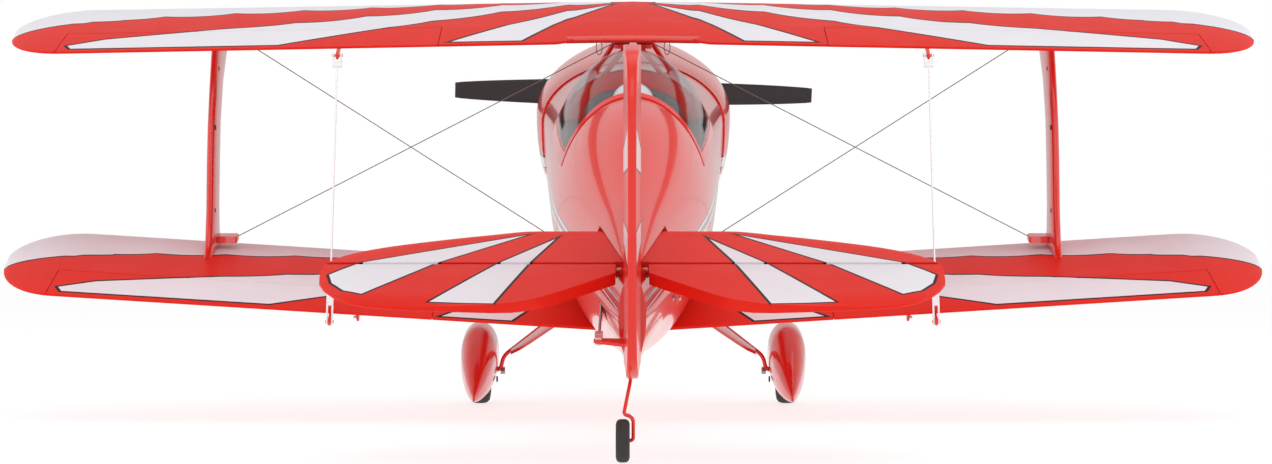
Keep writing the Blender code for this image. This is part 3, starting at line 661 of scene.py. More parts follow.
def chord_ends(nose, chord, x):
    """Front and rear of the chord, drawn in together round the wing tip."""
    reach = max(0.0, min(0.9995, (abs(x) - TIP_START) / (SPAN / 2 - TIP_START)))
    shrink = (1 - sqrt(1 - reach**2)) * chord
    return nose + TIP_SPLIT * shrink, nose + chord - (1 - TIP_SPLIT) * shrink


def rib_sag(x, share):
    """How far the film pulls in between ribs, over the open part of the frame."""
    if not 0.1 < share < 0.7 or abs(x) > AILERON_OUTER:
        return 0.0
    along = sin(pi * (share - 0.1) / 0.6) ** 0.5
    between = abs(sin(pi * x / RIB_PITCH)) ** 0.8
    return RIB_SAG * along * between


SECTION = [(1 - cos(pi * i / 36)) / 2 for i in range(1, 37)]


def wing_section(x, upper, shorten=0.0):
    front, rear = chord_ends(leading_edge(x, upper), CHORD - shorten, x)
    line = wing_line(x, upper)
    chord = rear - front
    depth = WING_THICKNESS * CHORD * (0.25 + 0.75 * chord / CHORD)
    above, below = [], []
    for share in SECTION:
        half = half_thickness(share, depth / chord) * chord - rib_sag(x, share)
        above.append((x, front + share * chord, line + half))
        below.append((x, front + share * chord, line - half))
    return above[::-1] + [(x, front, line)] + below


def span_cuts(first, last):
    """Eight cuts to a rib bay, then closer ones round the tip."""
    step = RIB_PITCH / 8
    cuts = [first + step * i for i in range(int((TIP_START - first) / step) + 1)]
    tip = [TIP_START + (last - TIP_START) * sin(pi / 2 * i / 14) for i in range(1, 15)]
    return cuts + tip


def centre_notch(x):
    """The trailing edge's rounded step forward over the cockpit."""
    return 12 * (1 - 1 / (1 + exp(-(abs(x) - 45) / 1.6)))


def make_wings():
    half = span_cuts(0.0, SPAN / 2)
    rings = [wing_section(x, True, centre_notch(x)) for x in [-x for x in reversed(half[1:])] + half]
    bay = aileron_bay(True)
    piece("upper_wing_skin", loft(rings), FILM_UPPER, "airframe", "red_film", ["upper_wing"],
          (bay, mirrored(bay)))
    rear = UPPER_NOSE + CHORD - 13
    edge = rounded_path([(x, rear + SWEEP * abs(x) * 0.9, UPPER_LINE) for x in (-45, 0, 45)], 20)
    piece("upper_wing_centre_edge", rod(edge, 2.3), GLOSS_RED, "airframe", "red_film")
    rings = [wing_section(x, False) for x in span_cuts(18.0, SPAN / 2)]
    servo_well = block((SERVO_X - 20, 140, -100), (SERVO_X + 12, 176, LOWER_LINE + 10.5))
    wing, bay, body = loft(rings), aileron_bay(False), body_shape(FIT, 40, 420)
    for side, word in SIDES:
        piece(f"lower_wing_skin_{word}", sided(wing, side), FILM_LOWER, "airframe", "red_film",
              [f"lower_wing_{word}"], (sided(bay, side), body, sided(servo_well, side)))


def hinge_point(x, upper):
    """Station and height of an aileron's hinge line, in the wing's top skin."""
    rise = half_thickness(HINGE_SHARE, WING_THICKNESS) * CHORD
    return leading_edge(x, upper) + HINGE_SHARE * CHORD, wing_line(x, upper) + rise


def aileron_bay(upper):
    """What is cut from a wing to make room for its aileron."""
    rings = []
    for x in (AILERON_INNER - 0.5, AILERON_OUTER + 0.5):
        station, top = hinge_point(x, upper)
        front, rear, low, high = station - GAP, station - GAP + 80, top - 30, top + 20
        rings.append([(x, front, low), (x, front, high), (x, rear, high), (x, rear, low)])
    return loft(rings)


def aileron_shape(upper):
    shares = spread(HINGE_SHARE + 0.002, 1.0, 9)
    halves = [(u, half_thickness(u, WING_THICKNESS) * CHORD) for u in shares]
    edge = halves[-1][1] / 2
    rings = []
    for x in spread(AILERON_INNER, AILERON_OUTER, 40):
        station, top = hinge_point(x, upper)
        line = wing_line(x, upper)
        front, rear = chord_ends(leading_edge(x, upper), CHORD, x)
        chord = rear - front
        ring = [(x, station + 0.05, top - 0.3)]
        ring += [(x, front + u * chord, line + half) for u, half in halves]
        ring += [(x, rear + GAP, line + edge), (x, rear + GAP, line - edge)]
        ring += [(x, front + u * chord, line - half) for u, half in reversed(halves)
                 if u > HINGE_SHARE + 0.05]
        ring.append((x, station + 6.2, line - (top - line) * 0.93))
        rings.append(ring)
    return loft(rings)


def horn_plate(outline, x):
    return rounded_plate(outline, x - 0.9, x + 0.9, 0.4)


def horn_shape(hinge, offset, x, root_aft):
    """A control horn from its root, aft of the hinge, to its rounded tip at the pivot."""
    station, top = hinge
    s, z = station + offset[0], top + offset[1]
    return horn_plate([
        (station + root_aft - 8, top - 5), (station + root_aft + 6, top - 5), (s + 2.4, z + 1.4),
        (s + 2.6, z - 0.6), (s + 1, z - 2.4), (s - 1.2, z - 2.4), (s - 2.4, z - 1),
    ], x)


def make_ailerons():
    for upper, level, finish in ((True, "upper", FILM_UPPER), (False, "lower", FILM_LOWER)):
        horns = [horn_shape(hinge_point(LINK_X, upper), LINK_HORN, LINK_X, 32)]
        if not upper:
            horns.append(horn_shape(hinge_point(SERVO_X, False), SERVO_HORN, SERVO_X, 13))
        body = "aileron_" + level + "_{}"
        pair(body + "_skin", aileron_shape(upper), finish, body, "red_film", body)
        pair(body + "_horns", merged(*horns), SATIN_RED, body, "red_film")


def clevis(pivot, direction, x, length, gap=1.6):
    """A moulded fork that clips over a horn, drawn from its pin towards the rod, and its pin."""
    along = Vector(direction).normalized()
    aside = Vector((-along.y, along.x))

    def outlined(corners, low, high, edge):
        places = [Vector(pivot) + along * a + aside * b for a, b in corners]
        return rounded_plate([tuple(place) for place in places], low, high, edge)

    fork = ((-2, 0.8), (-2, -0.8), (-1, -1), (length * 0.6, -0.9), (length * 0.6, 0.9), (-1, 1))
    parts = [outlined(fork, x + offset - 0.55, x + offset + 0.55, 0.25) for offset in (-gap, gap)]
    collar = ((length * 0.5, 1), (length * 0.5, -1), (length, -0.8), (length, 0.8))
    parts.append(outlined(collar, x - gap - 0.55, x + gap + 0.55, 0.4))
    return merged(*parts), disc((x, *pivot), 0.9, gap + 1, 14)


def make_links():
    low, high = (Vector(hinge_point(LINK_X, upper)) + Vector(LINK_HORN) for upper in (False, True))
    run = high - low
    start, end = low + run.normalized() * 19, high - run.normalized() * 6
    forks, pins = zip(clevis(low, run, LINK_X, 21.0, 1.7), clevis(high, -run, LINK_X, 8.0, 2.6))
    body = "aileron_link_{}"
    pair(body + "_rod", rod([(LINK_X, *start), (LINK_X, *end)], 0.6), LINK_WIRE, body, "wire", body)
    pair(body + "_clevises", merged(*forks), WHITE_NYLON, body, "white_nylon")
    pair(body + "_pins", merged(*pins), BRASS, body, "wire")


STRUT_ROWS = (  # height, front, rear, half thickness, lean
    (-58, 113, 173, 3.6, 0), (-54, 117, 166, 3.4, 0), (-46, 119, 158, 3.4, 0.3), (-30, 113, 146, 3.3, 0.9),
    (0, 98, 132, 3.3, 1.6), (24, 88, 122, 3.3, 1.7), (50, 73, 112, 3.3, 1.2), (66, 58, 107, 3.5, 0.5),
    (75, 47, 104, 3.6, 0.1), (84, 38, 102, 3.9, 0),
)


def make_struts():
    rings = []
    for z, front, rear, half, lean in STRUT_ROWS:
        ring = oval(28, (rear - front) / 2, half, (0.75, 0.7))
        rings.append([(STRUT_X + lean + b, (front + rear) / 2 + a, z) for a, b in ring])
    wings = [loft([wing_section(x, upper) for x in (STRUT_X - 20, STRUT_X + 20)]) for upper in (True, False)]
    tab = rounded_plate([(131, -51.5), (145, -51.5), (143, -47), (133, -47)], STRUT_X - 17, STRUT_X - 2, 1.2)
    screws = [disc((STRUT_X - 2.6 + lean, s, z), 1.7, 0.6, 14, 0.2)
              for s, z, lean in ((118, 24, 1.7), (100, 62, 0.8), (138, -30, 0.9))]
    pair("interplane_strut_{}_shell", loft(rings), GLOSS_RED, "airframe", "red_paint",
         "interplane_strut_{}", wings)
    pair("strut_wire_tab_{}", tab, GLOSS_RED, "airframe", "red_paint")
    pair("strut_screws_{}", merged(*screws), CASE, "airframe", "case")


def make_cabane():
    under = UPPER_LINE - half_thickness(0.72, WING_THICKNESS) * CHORD
    low, high = WIRE_LINE - 1.9, WIRE_LINE + 0.9
    legs = merged(
        rod([(26, 40, 51), (11, 56, WIRE_LINE)], 1.8), rod([(21, 98, 56), (4.2, 91, WIRE_LINE)], 1.8),
        rounded_plate([(54, low), (94, low), (94, high), (54, high)], 2.4, 13, 0.8),
    )
    pair("cabane_strut_{}_shell", legs, GLOSS_RED, "airframe", "red_paint", "cabane_strut_{}")
    loop = [(23.4 + b, 101, under - 5.2 + a) for a, b in oval(24, 5.0, 2.0)]
    pair("wire_loop_{}", rod(loop + loop[:1], 0.3, 8), RIGGING, "airframe", "wire")
    bolt = upright([(-1.6, 0.3), (-1.5, 1.7), (-0.6, 2.0), (0.6, 2.0)], (18.6, 101, under))
    pair("cabane_bolt_{}", bolt, CASE, "airframe", "case")


def make_rigging():
    for side, word in SIDES:
        flying = [(side * 55.5, 120, -53), (side * 270, 85, WIRE_LINE + 2)]
        landing = [(side * (STRUT_X - 15), 138, -49), (side * 15.2, 99, WIRE_LINE + 2)]
        for name, path in (("flying", flying), ("landing", landing)):
            node = f"{name}_wire_{word}"
            piece(f"{node}_strand", rod(path, 0.33, 10), RIGGING, "airframe", "wire", [node])


# ---- fuselage


def body_value(station, column):
    return curve_through([(row[0], row[column]) for row in STATIONS], station)


def bulged(station, sides, width, middle, above, below, powers):
    """A section with its own height and squareness above and below its middle."""
    ring = []
    for c, d in oval(sides, 1, first=0.5):
        reach, power = (above, 2 / powers[0]) if d > 0 else (below, 2 / powers[1])
        ring.append((width * signed_power(c, power), station, middle + reach * signed_power(d, power)))
    return ring


def body_section(station, swell=0.0):
    width, middle, top, bottom = (body_value(station, column) for column in (1, 2, 3, 4))
    powers = (TOP_POWER, curve_through(BELLY_POWERS, station))
    return bulged(station, 72, width + swell, middle, top + swell - middle, middle - bottom + swell, powers)


def side_at(station, height):
    middle, top, bottom = (body_value(station, column) for column in (2, 3, 4))
    power = TOP_POWER if height > middle else BOTTOM_POWER
    share = (height - middle) / ((top if height > middle else bottom) - middle)
    return body_value(station, 1) * (1 - share**power) ** (1 / power)


def body_shape(swell=0.0, first=0.0, last=BODY_END):
    return loft([body_section(cut, swell) for cut in spread(first, last, 44)])


def make_fuselage():
    tail_slot = block((-40, 435.5, TAIL_LINE - TAIL_SLOT), (40, STAB_HINGE + 2.4, TAIL_LINE + TAIL_SLOT))
    hatch = block((-90, HATCH_FRONT - GAP, SILL), (90, HATCH_REAR + 1.2, 120))
    rudder_slot = block((-40, 462, -14.5), (-9, 492, -9))
    elevator_slot = block((10, 418, -2), (60, 446, 4.5))
    piece("fuselage_skin", body_shape(), FILM_BODY, "airframe", "red_film", ["fuselage_shell"],
          (body_shape(-SKIN, -1.0, 500.0), hatch, tail_slot, rudder_slot, elevator_slot))


COWL_SKIN = 1.8
ENGINE = -100  # station of the dummy engine's cylinders
COWL = (  # station, half width, top
    (-132, 44, 44), (-131, 50, 46.5), (-126, 56, 48.5), (-118, 61.5, 49.5), (-105, 66.5, 50.5),
    (-85, 71, 51.5), (-60, 72.6, 52.2), (-20, 71, 52.2), (3, 66.9, 51),
)
COWL_CUTS = (-132, -131.6, -131, -129.5, -127.5, -125, -121, -116, -108, -98, -85, -70, -50, -35, -20,
             -10, -4, 2.4)


def cowl_ring(station, width, top, swell=0.0):
    """Round at the nose, taking on the fuselage's squarer belly towards the firewall."""
    blend = max(0.0, min(1.0, (station + 90) / 93)) ** 1.5
    middle = 2 + 4 * blend
    powers = [2 + (power - 2) * blend for power in (TOP_POWER, BOTTOM_POWER)]
    above, below = top - middle + swell, width + 4 + middle + swell
    return bulged(station, 64, width + swell, middle, above, below, powers)


def make_nose():
    sizes = [[curve_through([(row[0], row[k]) for row in COWL], s) for k in (1, 2)] for s in COWL_CUTS]
    outer = [cowl_ring(s, *size) for s, size in zip(COWL_CUTS, sizes)]
    inner = [cowl_ring(s, *size, -COWL_SKIN) for s, size in zip(COWL_CUTS, sizes)][::-1]
    lip, rear = cowl_ring(-132.4, 43.2, 43.2), cowl_ring(2.8, 66.3, 50.5)
    shell = loft([lip, *outer, rear, *inner], loop=True)
    piece("cowl_shell", shell, FILM_COWL, "airframe", "red_film", ["cowling"])
    refinish(PLYWOOD, "firewall")
    front, back = ENGINE - 4, ENGINE + 4
    engine = [turned([(20, front), (26, front), (26, back), (20, back)], ORIGIN, 48, "s")]
    for c, d in oval(9, 1, first=0.5):
        for near, far, radius in ((24, 40, 6.2), *((26 + 2.8 * k, 26.9 + 2.8 * k, 7.6) for k in range(5))):
            engine.append(rod([(r * c, ENGINE, r * d) for r in (near, far)], radius, 18))
    piece("dummy_radial_engine", merged(*engine), CASE, "airframe", "case")
    refinish(ALUMINIUM, "motor_mount")
    slots = [rod([(a, -117, b), (a, -125, b)], 2.6) for a, b in oval(6, 12)]
    bell = [(AXIS, -79), (18, -79), (18.5, -80), (18.5, -112), (17.5, -116), (13, -120), (AXIS, -120)]
    motor = merged(turned(bell, ORIGIN, 48, "s"), rod([(0, -118, 0), (0, -150, 0)], 2.5))
    piece("motor_bell_shell", motor, ALUMINIUM, "propeller", "motor", ["motor_bell"], slots)


BLADE_ROWS = (  # share of the length, then chord, twist in degrees and half thickness
    ((0.03, 10), (0.12, 15), (0.3, 21), (0.6, 18.5), (0.97, 13), (1.0, 11.8)),
    ((0.03, 46), (0.14, 36), (0.3, 26), (0.6, 17), (1.0, 11)),
    ((0.03, 3.4), (0.14, 2.2), (0.4, 1.3), (1.0, 0.6)),
)
BLADE_TILT = radians(-0.9)


def blade_shape():
    """One cambered and twisted blade, along x from the hub."""
    rings = []
    for share in spread(0.03, 1.0, 30):
        chord, twist, thick = (curve_through(rows, share) for rows in BLADE_ROWS)
        angle = radians(twist)
        ring = []
        for c, d in oval(20, 1):
            along = 0.5 * c * chord
            up = thick * d * (1 + 0.3 * c) + 0.05 * chord * (1 - (2 * along / chord) ** 2)
            ring.append((share * 140.5, PROP_STATION + along * sin(angle) - up * cos(angle),
                         along * cos(angle) + up * sin(angle)))
        rings.append(ring)
    return loft(rings)


def make_propeller():
    points, faces = blade_shape()
    c, d = cos(BLADE_TILT), sin(BLADE_TILT)
    blade = [(x * c - z * d, s, x * d + z * c) for x, s, z in points]
    other = [(-x, s, -z) for x, s, z in blade]
    low, high = PROP_STATION - 5, PROP_STATION + 5
    hub = [(AXIS, low), (9, low), (10, low + 1), (10, high - 1), (9, high), (AXIS, high)]
    blades = merged(turned(hub, ORIGIN, 40, "s"), (blade, faces), (other, faces))
    piece("propeller_blades", blades, BLACK_NYLON, "propeller", "black_nylon", ["propeller"])
    nose = PROP_STATION - 34
    profile = [(AXIS, nose)]
    for angle in spread(0, pi / 2, 13)[1:]:
        profile.append((17.5 * sin(angle) ** 0.8, nose + 28 * (1 - cos(angle))))
    profile += [(17.5, low - 0.4), (AXIS, low - 0.4)]
    piece("spinner_shell", turned(profile, ORIGIN, 48, "s"), GLOSS_RED, "propeller", "red_paint", ["spinner"])


# ---- cockpit


def canopy_arch(station, swell, low):
    """Points over the canopy from one side to the other, above a height."""
    middle, width = body_value(station, 2), body_value(station, 1) + swell
    above = curve_through(CANOPY_TOP, station) + swell - middle
    start = asin(((low - middle) / above) ** (TOP_POWER / 2))
    points = []
    for angle in spread(start, pi - start, 49):
        x = width * signed_power(cos(angle), 2 / TOP_POWER)
        points.append((x, station, middle + above * sin(angle) ** (2 / TOP_POWER)))
    return points


def canopy_band(first, last, outer, inner, low, count):
    """The part of the canopy between two stations, from its inner to its outer surface."""
    return loft([canopy_arch(s, outer, low) + canopy_arch(s, inner, low)[::-1]
                 for s in spread(first, last, count)])


def make_canopy():
    """A clear shell in a red rail and rear hoop, with an arch behind the windscreen."""
    sill, rail_top, hoop = SILL + GAP, SILL + 8, HATCH_REAR - 4.5
    glass = canopy_band(HATCH_FRONT + 1, hoop + 1, 0.0, -0.9, rail_top - 0.5, 44)
    piece("canopy_shell", glass, GLASS, "canopy_hatch", "clear_canopy", ["canopy_glass"])
    outer, inner = 0.3, -1.6
    edges = ((outer, sill), (outer, rail_top), (inner, rail_top), (inner, sill))
    rail = loft([[canopy_arch(s, swell, low)[0] for swell, low in edges]
                 for s in spread(HATCH_FRONT + 4, hoop + 1, 32)])
    hoops = [canopy_band(first, last, outer, inner, sill, 4)
             for first, last in ((hoop, HATCH_REAR), (HATCH_FRONT, HATCH_FRONT + 5))]
    piece("canopy_frame", merged(*hoops, rail, mirrored(rail)), FILM_COWL, "canopy_hatch", "red_film")
    bulkhead = loft([canopy_arch(s, -2.8, sill) for s in (HATCH_FRONT + 7, HATCH_FRONT + 9)])
    piece("cockpit_front_bulkhead", bulkhead, SATIN_RED, "canopy_hatch", "red_film")


HEAD = 203  # station of the middle of the pilot's head
HELMET_HALF = (14.4, 15.6)  # half width and half length


def head_ring(z, across, along):
    return [(a, HEAD + b, z) for a, b in oval(40, across, along)]


def helmet_rings(rows):
    return [head_ring(z, *(half * grow for half in HELMET_HALF)) for z, grow in rows]


def make_pilot():
    """The cockpit floor, the instruments and a plain pilot's bust, all carried by the hatch."""
    seat = ("canopy_hatch", "cockpit")
    low, high = SILL + 0.6, SILL + 3.4
    floor = []
    for s in spread(116, 258, 20):
        wide = side_at(s, SILL) - 4.6
        floor.append([(-wide, s, low), (wide, s, low), (wide, s, high), (-wide, s, high)])
    piece("cockpit_floor", loft(floor), COCKPIT, *seat, ["cockpit_floor_with_pilot"])
    foot = SILL + 2
    panel = [[(wide * cos(a), s, foot + (top - foot) * sin(a) ** 0.6) for a in spread(0, pi, 25)]
             for s, wide, top in ((128, 33, 52), (131, 34, 54), (139, 34, 54), (141, 33, 53))]
    piece("instrument_panel", loft(panel), COCKPIT, *seat)
    dials = [turned([(AXIS, 141), (r, 141), (r, 141.9), (r - 0.8, 142.2), (AXIS, 141.6)], (x, 0, z), 24, "s")
             for x, z, r in ((-16, 40, 5), (-5, 42, 5), (6, 42, 5), (17, 40, 5), (-10, 33, 2.6), (0, 33, 2.6),
                             (10, 33, 2.6))]
    piece("instrument_dials", merged(*dials), WHITE_NYLON, "canopy_hatch", "white_nylon")
    bust = [[(a, s + b, z) for a, b in oval(32, wide, deep)] for z, wide, deep, s in (
        (29, 25, 14, 206), (32, 28, 15, 206), (35.5, 28, 15, 205), (39, 24, 13, 205), (42, 15, 10.5, 204),
        (44, 9, 8.5, 203), (48, 8.5, 8.5, 202))]
    piece("pilot_bust", loft(bust), SUIT, *seat)
    face = merged(ball((0, 198.5, 53), (8.2, 9.5, 9)), ball((0, 188.8, 52), (1.5, 2.2, 2.6), 8, 12))
    piece("pilot_face", face, FACE, *seat)
    opening = block((-8.5, 180, 40), (8.5, 196, 61))
    helmet = helmet_rings(((46.5, 0.88), (48.5, 0.95), (51, 1.0), (54, 1.0)))
    for angle in spread(0, pi / 2, 16)[1:]:
        across, along = (0.4 + size * max(0.0, cos(angle)) ** 0.9 for size in (14.0, 15.2))
        helmet.append(head_ring(54 + 15.8 * sin(angle), across, along))
    piece("pilot_helmet_shell", loft(helmet), HELMET, "canopy_hatch", "white_nylon", cut=(opening,))
    rim = helmet_rings(((45.8, 0.86), (46.4, 0.93), (49, 0.99), (51.5, 1.035), (53, 1.035), (53.6, 1.0)))
    piece("pilot_helmet_rim", loft(rim), COCKPIT, *seat, cut=(opening,))
    piece("pilot_visor_shell", ball((0, 198.5, 58), (10.5, 12.2, 4.5), 12, 32), VISOR, *seat)


# ---- tail


TAIL_HALF = 4.0
STAB_EDGE = ((0, 436), (55, 436), (81, 446), (110, 460), (140, 478), (157, 495), (165, 512), (166.5, 522.5))
ELEVATOR_EDGE = (
    (9, 541), (20, 554.7), (32, 569.2), (40, 578.4), (47, 585.8), (54, 591.4), (62, 595.2), (72, 597.4),
    (92, 598), (120, 596), (136, 592), (147, 585.5), (156, 575), (162, 563.5), (166, 551), (167, 541),
    (166.8, 532), (166.5, 524),
)
ELEVATOR_HORN_X = 24.0
ELEVATOR_HORN_TIP = (STAB_HINGE + 4, TAIL_LINE - 15)


def make_tailplane():
    rows = [(x, curve_through(STAB_EDGE, x)) for x in (*spread(0, 152, 24), *spread(154, 166.4, 10))]
    rings = []
    for x, front in [(-a, b) for a, b in reversed(rows[1:])] + rows:
        chord = STAB_HINGE - 0.4 - front
        ring = []
        for share in (1, 0.8, 0.6, 0.4, 0.22, 0.1, 0.035, 0):
            high = TAIL_HALF * min(1, (share * chord / 14 + 0.02)) ** 0.5
            ring.append((x, front + share * chord, TAIL_LINE + high))
        ring += [(x, s, 2 * TAIL_LINE - z) for x, s, z in reversed(ring)]
        rings.append(ring)
    notch = block((-9.5, STAB_HINGE - 2, TAIL_LINE - 10), (9.5, STAB_HINGE + 5, TAIL_LINE + 10))
    piece("stabilizer_skin", loft(rings), FILM_TAIL, "airframe", "red_film", ["horizontal_stabilizer"],
          (notch,))


def drooped(s, z):
    """A point of the elevator turned about its hinge to its rest position."""
    aft, up = s - STAB_HINGE, z - TAIL_LINE
    c, d = cos(ELEVATOR_DROOP), sin(ELEVATOR_DROOP)
    return STAB_HINGE + aft * c + up * d, TAIL_LINE - aft * d + up * c


def elevator_shape():
    rings = []
    front, top = STAB_HINGE + 0.4, TAIL_LINE + TAIL_HALF
    for x, rear in ELEVATOR_EDGE:
        chord = rear - front
        edge = curve_through([(9, 3.4), (56, 3.0), (80, 2.0), (110, 1.2), (167, 1.0)], x)
        bevel = min(2.3, chord * 0.3)
        places = [(front, TAIL_LINE + 0.4), (front + bevel * 0.8, top - 0.3), (front + bevel * 1.3, top)]
        places += [(front + share * chord, top + (edge - TAIL_HALF) * share) for share in (0.35, 0.7)]
        places += [(rear - 0.5, TAIL_LINE + edge + (TAIL_HALF - edge) * 0.01), (rear, TAIL_LINE + edge * 0.7)]
        places += [(s, 2 * TAIL_LINE - z) for s, z in reversed(places)]
        rings.append([(x, *drooped(s, z)) for s, z in places])
    return loft(rings)


def make_elevator():
    pair("elevator_{}_skin", elevator_shape(), FILM_TAIL, "elevator", "red_film", "elevator_{}")
    s, z = ELEVATOR_HORN_TIP
    outline = [(s - 1, z + 13), (s + 13, z + 13), (s + 2.4, z - 1), (s + 1, z - 2.4), (s - 1, z - 2.4),
               (s - 2.4, z - 1)]
    piece("elevator_horn", horn_plate(outline, ELEVATOR_HORN_X), SATIN_RED, "elevator", "red_film")
    refinish(GLOSS_RED, "elevator_joiner")


FIN_EDGE = (
    (440, 43.6), (446, 48), (452, 55.5), (470, 79), (490, 105), (505, 121.5), (520, 135), (532, 142.5),
    (547.4, 147.6), (547.4, 26.4),
)
RUDDER_ROWS = (  # height, front and rear aft of the hinge
    (152, 14, 31), (151.2, 9, 35.5), (149.6, 4, 39.5), (147, 0, 42.5), (143, 0, 45.5), (136, 0, 49),
    (125, 0, 52), (105, 0, 54.8), (85, 0, 56), (60, 0, 55.5), (30, 0, 53), (10, 0, 50), (-8, 0, 45),
    (-15, 0, 38.5), (-21, 0, 30), (-24.8, 0, 22), (-26.5, 0, 14),
)


def make_fin_and_rudder():
    rings = []
    for x, inset in ((-1, 1.4), (-0.9, 0.6), (-0.55, 0), (0.55, 0), (0.9, 0.6), (1, 1.4)):
        rings.append([(x * FIN_HALF, s + inset if s < 547 else s, z - inset if z > 44 and s > 440 else z)
                      for s, z in FIN_EDGE])
    clear = block((-10, 435, TAIL_LINE - 5), (10, STAB_HINGE + 1, TAIL_LINE + TAIL_SLOT))
    piece("fin_skin", loft(rings), FILM_FIN, "airframe", "red_film", ["vertical_fin"],
          (body_shape(FIT, 400.0), clear))
    rings = []
    for height, front, aft in RUDDER_ROWS:
        chord = aft - front
        half = FIN_HALF if chord > 25 else FIN_HALF * 0.8
        edge = half * (1 - chord / 100)
        s = RUDDER_HINGE + front
        ring = [(0.4, s, height), (half * 0.92, s + 1.6, height), (half, s + 2.6, height)]
        ring += [(half + (edge - half) * t, s + t * chord, height) for t in (0.4, 0.7)]
        ring += [(edge, s + chord - 0.6, height), (edge * 0.6, s + chord, height)]
        ring += [(-a, b, c) for a, b, c in reversed(ring)]
        rings.append(ring)
    piece("rudder_skin", loft(rings), FILM_FIN, "rudder", "red_film", ["rudder"])
    arm = [(-1, 551), (-1, 563), (-19.2, 555), (-20.6, 553.4), (-20.6, 551), (-18.8, 549.8)]
    piece("rudder_horn", level_plate(arm, -9.9, -8.1), SATIN_RED, "rudder", "red_film")


def make_control_runs():
    for run in ("elevator_{}", "rudder_{}", "aileron_{}_left", "aileron_{}_right"):
        refinish(STEEL, run.format("pushrod"))
        refinish(WHITE_NYLON, run.format("servo_arm"))
        refinish(CASE, run.format("servo"))
    refinish(STEEL, "wing_joiner_tube")
    refinish(CASE, "speed_controller", "receiver")
    refinish(WRAP, "battery")
    fork, pin = clevis(ELEVATOR_HORN_TIP, (-320, -29), ELEVATOR_HORN_X, 10)
    piece("elevator_clevis", fork, WHITE_NYLON, "elevator_pushrod", "white_nylon")
    piece("elevator_clevis_pin", pin, BRASS, "elevator_pushrod", "wire")
    outline = [(-19.8, 554), (-16.2, 554), (-15.6, 545), (-20.2, 545)]
    parts = [level_plate(outline, z - 0.5, z + 0.5) for z in (-10.5, -7.5)]
    parts.append(block((-20, 540, -11.2), (-15.8, 546.5, -6.8)))
    piece("rudder_clevis", merged(*parts), WHITE_NYLON, "rudder_pushrod", "white_nylon")


# ---- undercarriage


def make_gear():
    _, station, line = WHEEL
    path = [(12, 41, -84), LEG_TOP, LEG_FOOT, (97, station, line), (117, station, line)]
    leg = rod(rounded_path(path, 5), 1.5)
    pair("gear_leg_{}", leg, GLOSS_RED, "airframe", "wire", "landing_gear_wire_{}")
    drop = (LEG_FOOT[2] - LEG_TOP[2]) / (LEG_FOOT[0] - LEG_TOP[0])
    front = LEG_TOP[1]
    rings = []
    for x in spread(5, 89, 13):
        rear = curve_through([(5, 96), (55, 74), (82, 60), (89, 51)], x)
        z = LEG_TOP[2] + drop * (x - LEG_TOP[0])
        ring = oval(16, (rear - front) / 2, 1.6, (1, 0.6))
        rings.append([(x, (front + rear) / 2 + a, z + b) for a, b in ring])
    pair("gear_fairing_{}_panel", loft(rings), GLOSS_RED, "airframe", "red_paint", "gear_fairing_{}",
         (body_shape(0.2, 0.0, 200.0),))


PANT_ROWS = (  # aft of the axle, half width, height above and below the axle
    [(-44, 1.2), (-42, 5), (-36, 9), (-26, 12.2), (-10, 13.6), (10, 13.4), (30, 11.6), (50, 8.2), (68, 4),
     (79, 0.9)],
    [(-44, 3.4), (-42, 7.5), (-36, 15), (-26, 25), (-10, 34.2), (8, 35.4), (26, 30), (45, 21), (64, 11),
     (79, 3.6)],
    [(-44, 5), (-42, 8), (-36, 12.4), (-26, 15), (-10, 15), (8, 14), (26, 12), (45, 9), (64, 5), (79, 0.4)],
)


def make_pants():
    x0, station, line = WHEEL
    rings = []
    for aft in (-44, -43.4, -42.4, *spread(-41, 79, 40)):
        wide, high, low = (curve_through(rows, aft) for rows in PANT_ROWS)
        ring = oval(40, wide, (high + low) / 2, (0.9, 0.85), 0.5)
        rings.append([(x0 + a, station + aft, line + (high - low) / 2 + b) for a, b in ring])
    axle_hole = rod([(90, station, line), (x0, station, line)], 2.0)
    pair("wheel_pant_{}_shell", loft(rings), GLOSS_RED, "airframe", "red_film", "wheel_pant_{}",
         (disc(WHEEL, 27, 9.5), axle_hole))
    pair("axle_nut_{}", disc((x0 - 16.6, station, line), 2.8, 1.6, 6), STEEL, "airframe", "wire")
    screw = disc((x0 - 13.2, station + 16, line - 2), 2.2, 0.5, 16, 0.2)
    pair("pant_screw_{}", screw, CASE, "airframe", "case")


TYRE_HALF = ((12.4, -5.5), (15, -6.8), (19, -7.5), (21.5, -7), (23.2, -5.4), (23.9, -3))
HUB_HALF = ((1.9, -5), (4, -5), (4, -3), (9.6, -2.4), (10.2, -4.6), (12.2, -4.8))
TAIL_TYRE_HALF = ((1.3, -2.9), (5, -2.9), (6, -3.6), (9, -3.7), (10.6, -3.1), (11.4, -1.8))


def make_main_wheels():
    x0, station, line = WHEEL
    body = "main_wheel_{}"
    tread = turned(evened(TYRE_HALF, [(24, 0)]), WHEEL, 72)
    pair("tyre_{}_tread", tread, FOAM_TYRE, body, "tyre", "tyre_{}")
    holes = [rod([(x, station + a, line + b) for x in (x0 - 8, x0 + 8)], 1.7) for a, b in oval(5, 6.8)]
    pair("wheel_hub_{}_disc", turned(evened(HUB_HALF), WHEEL, 60), WHITE_NYLON, body, "white_nylon",
         "wheel_hub_{}", holes)


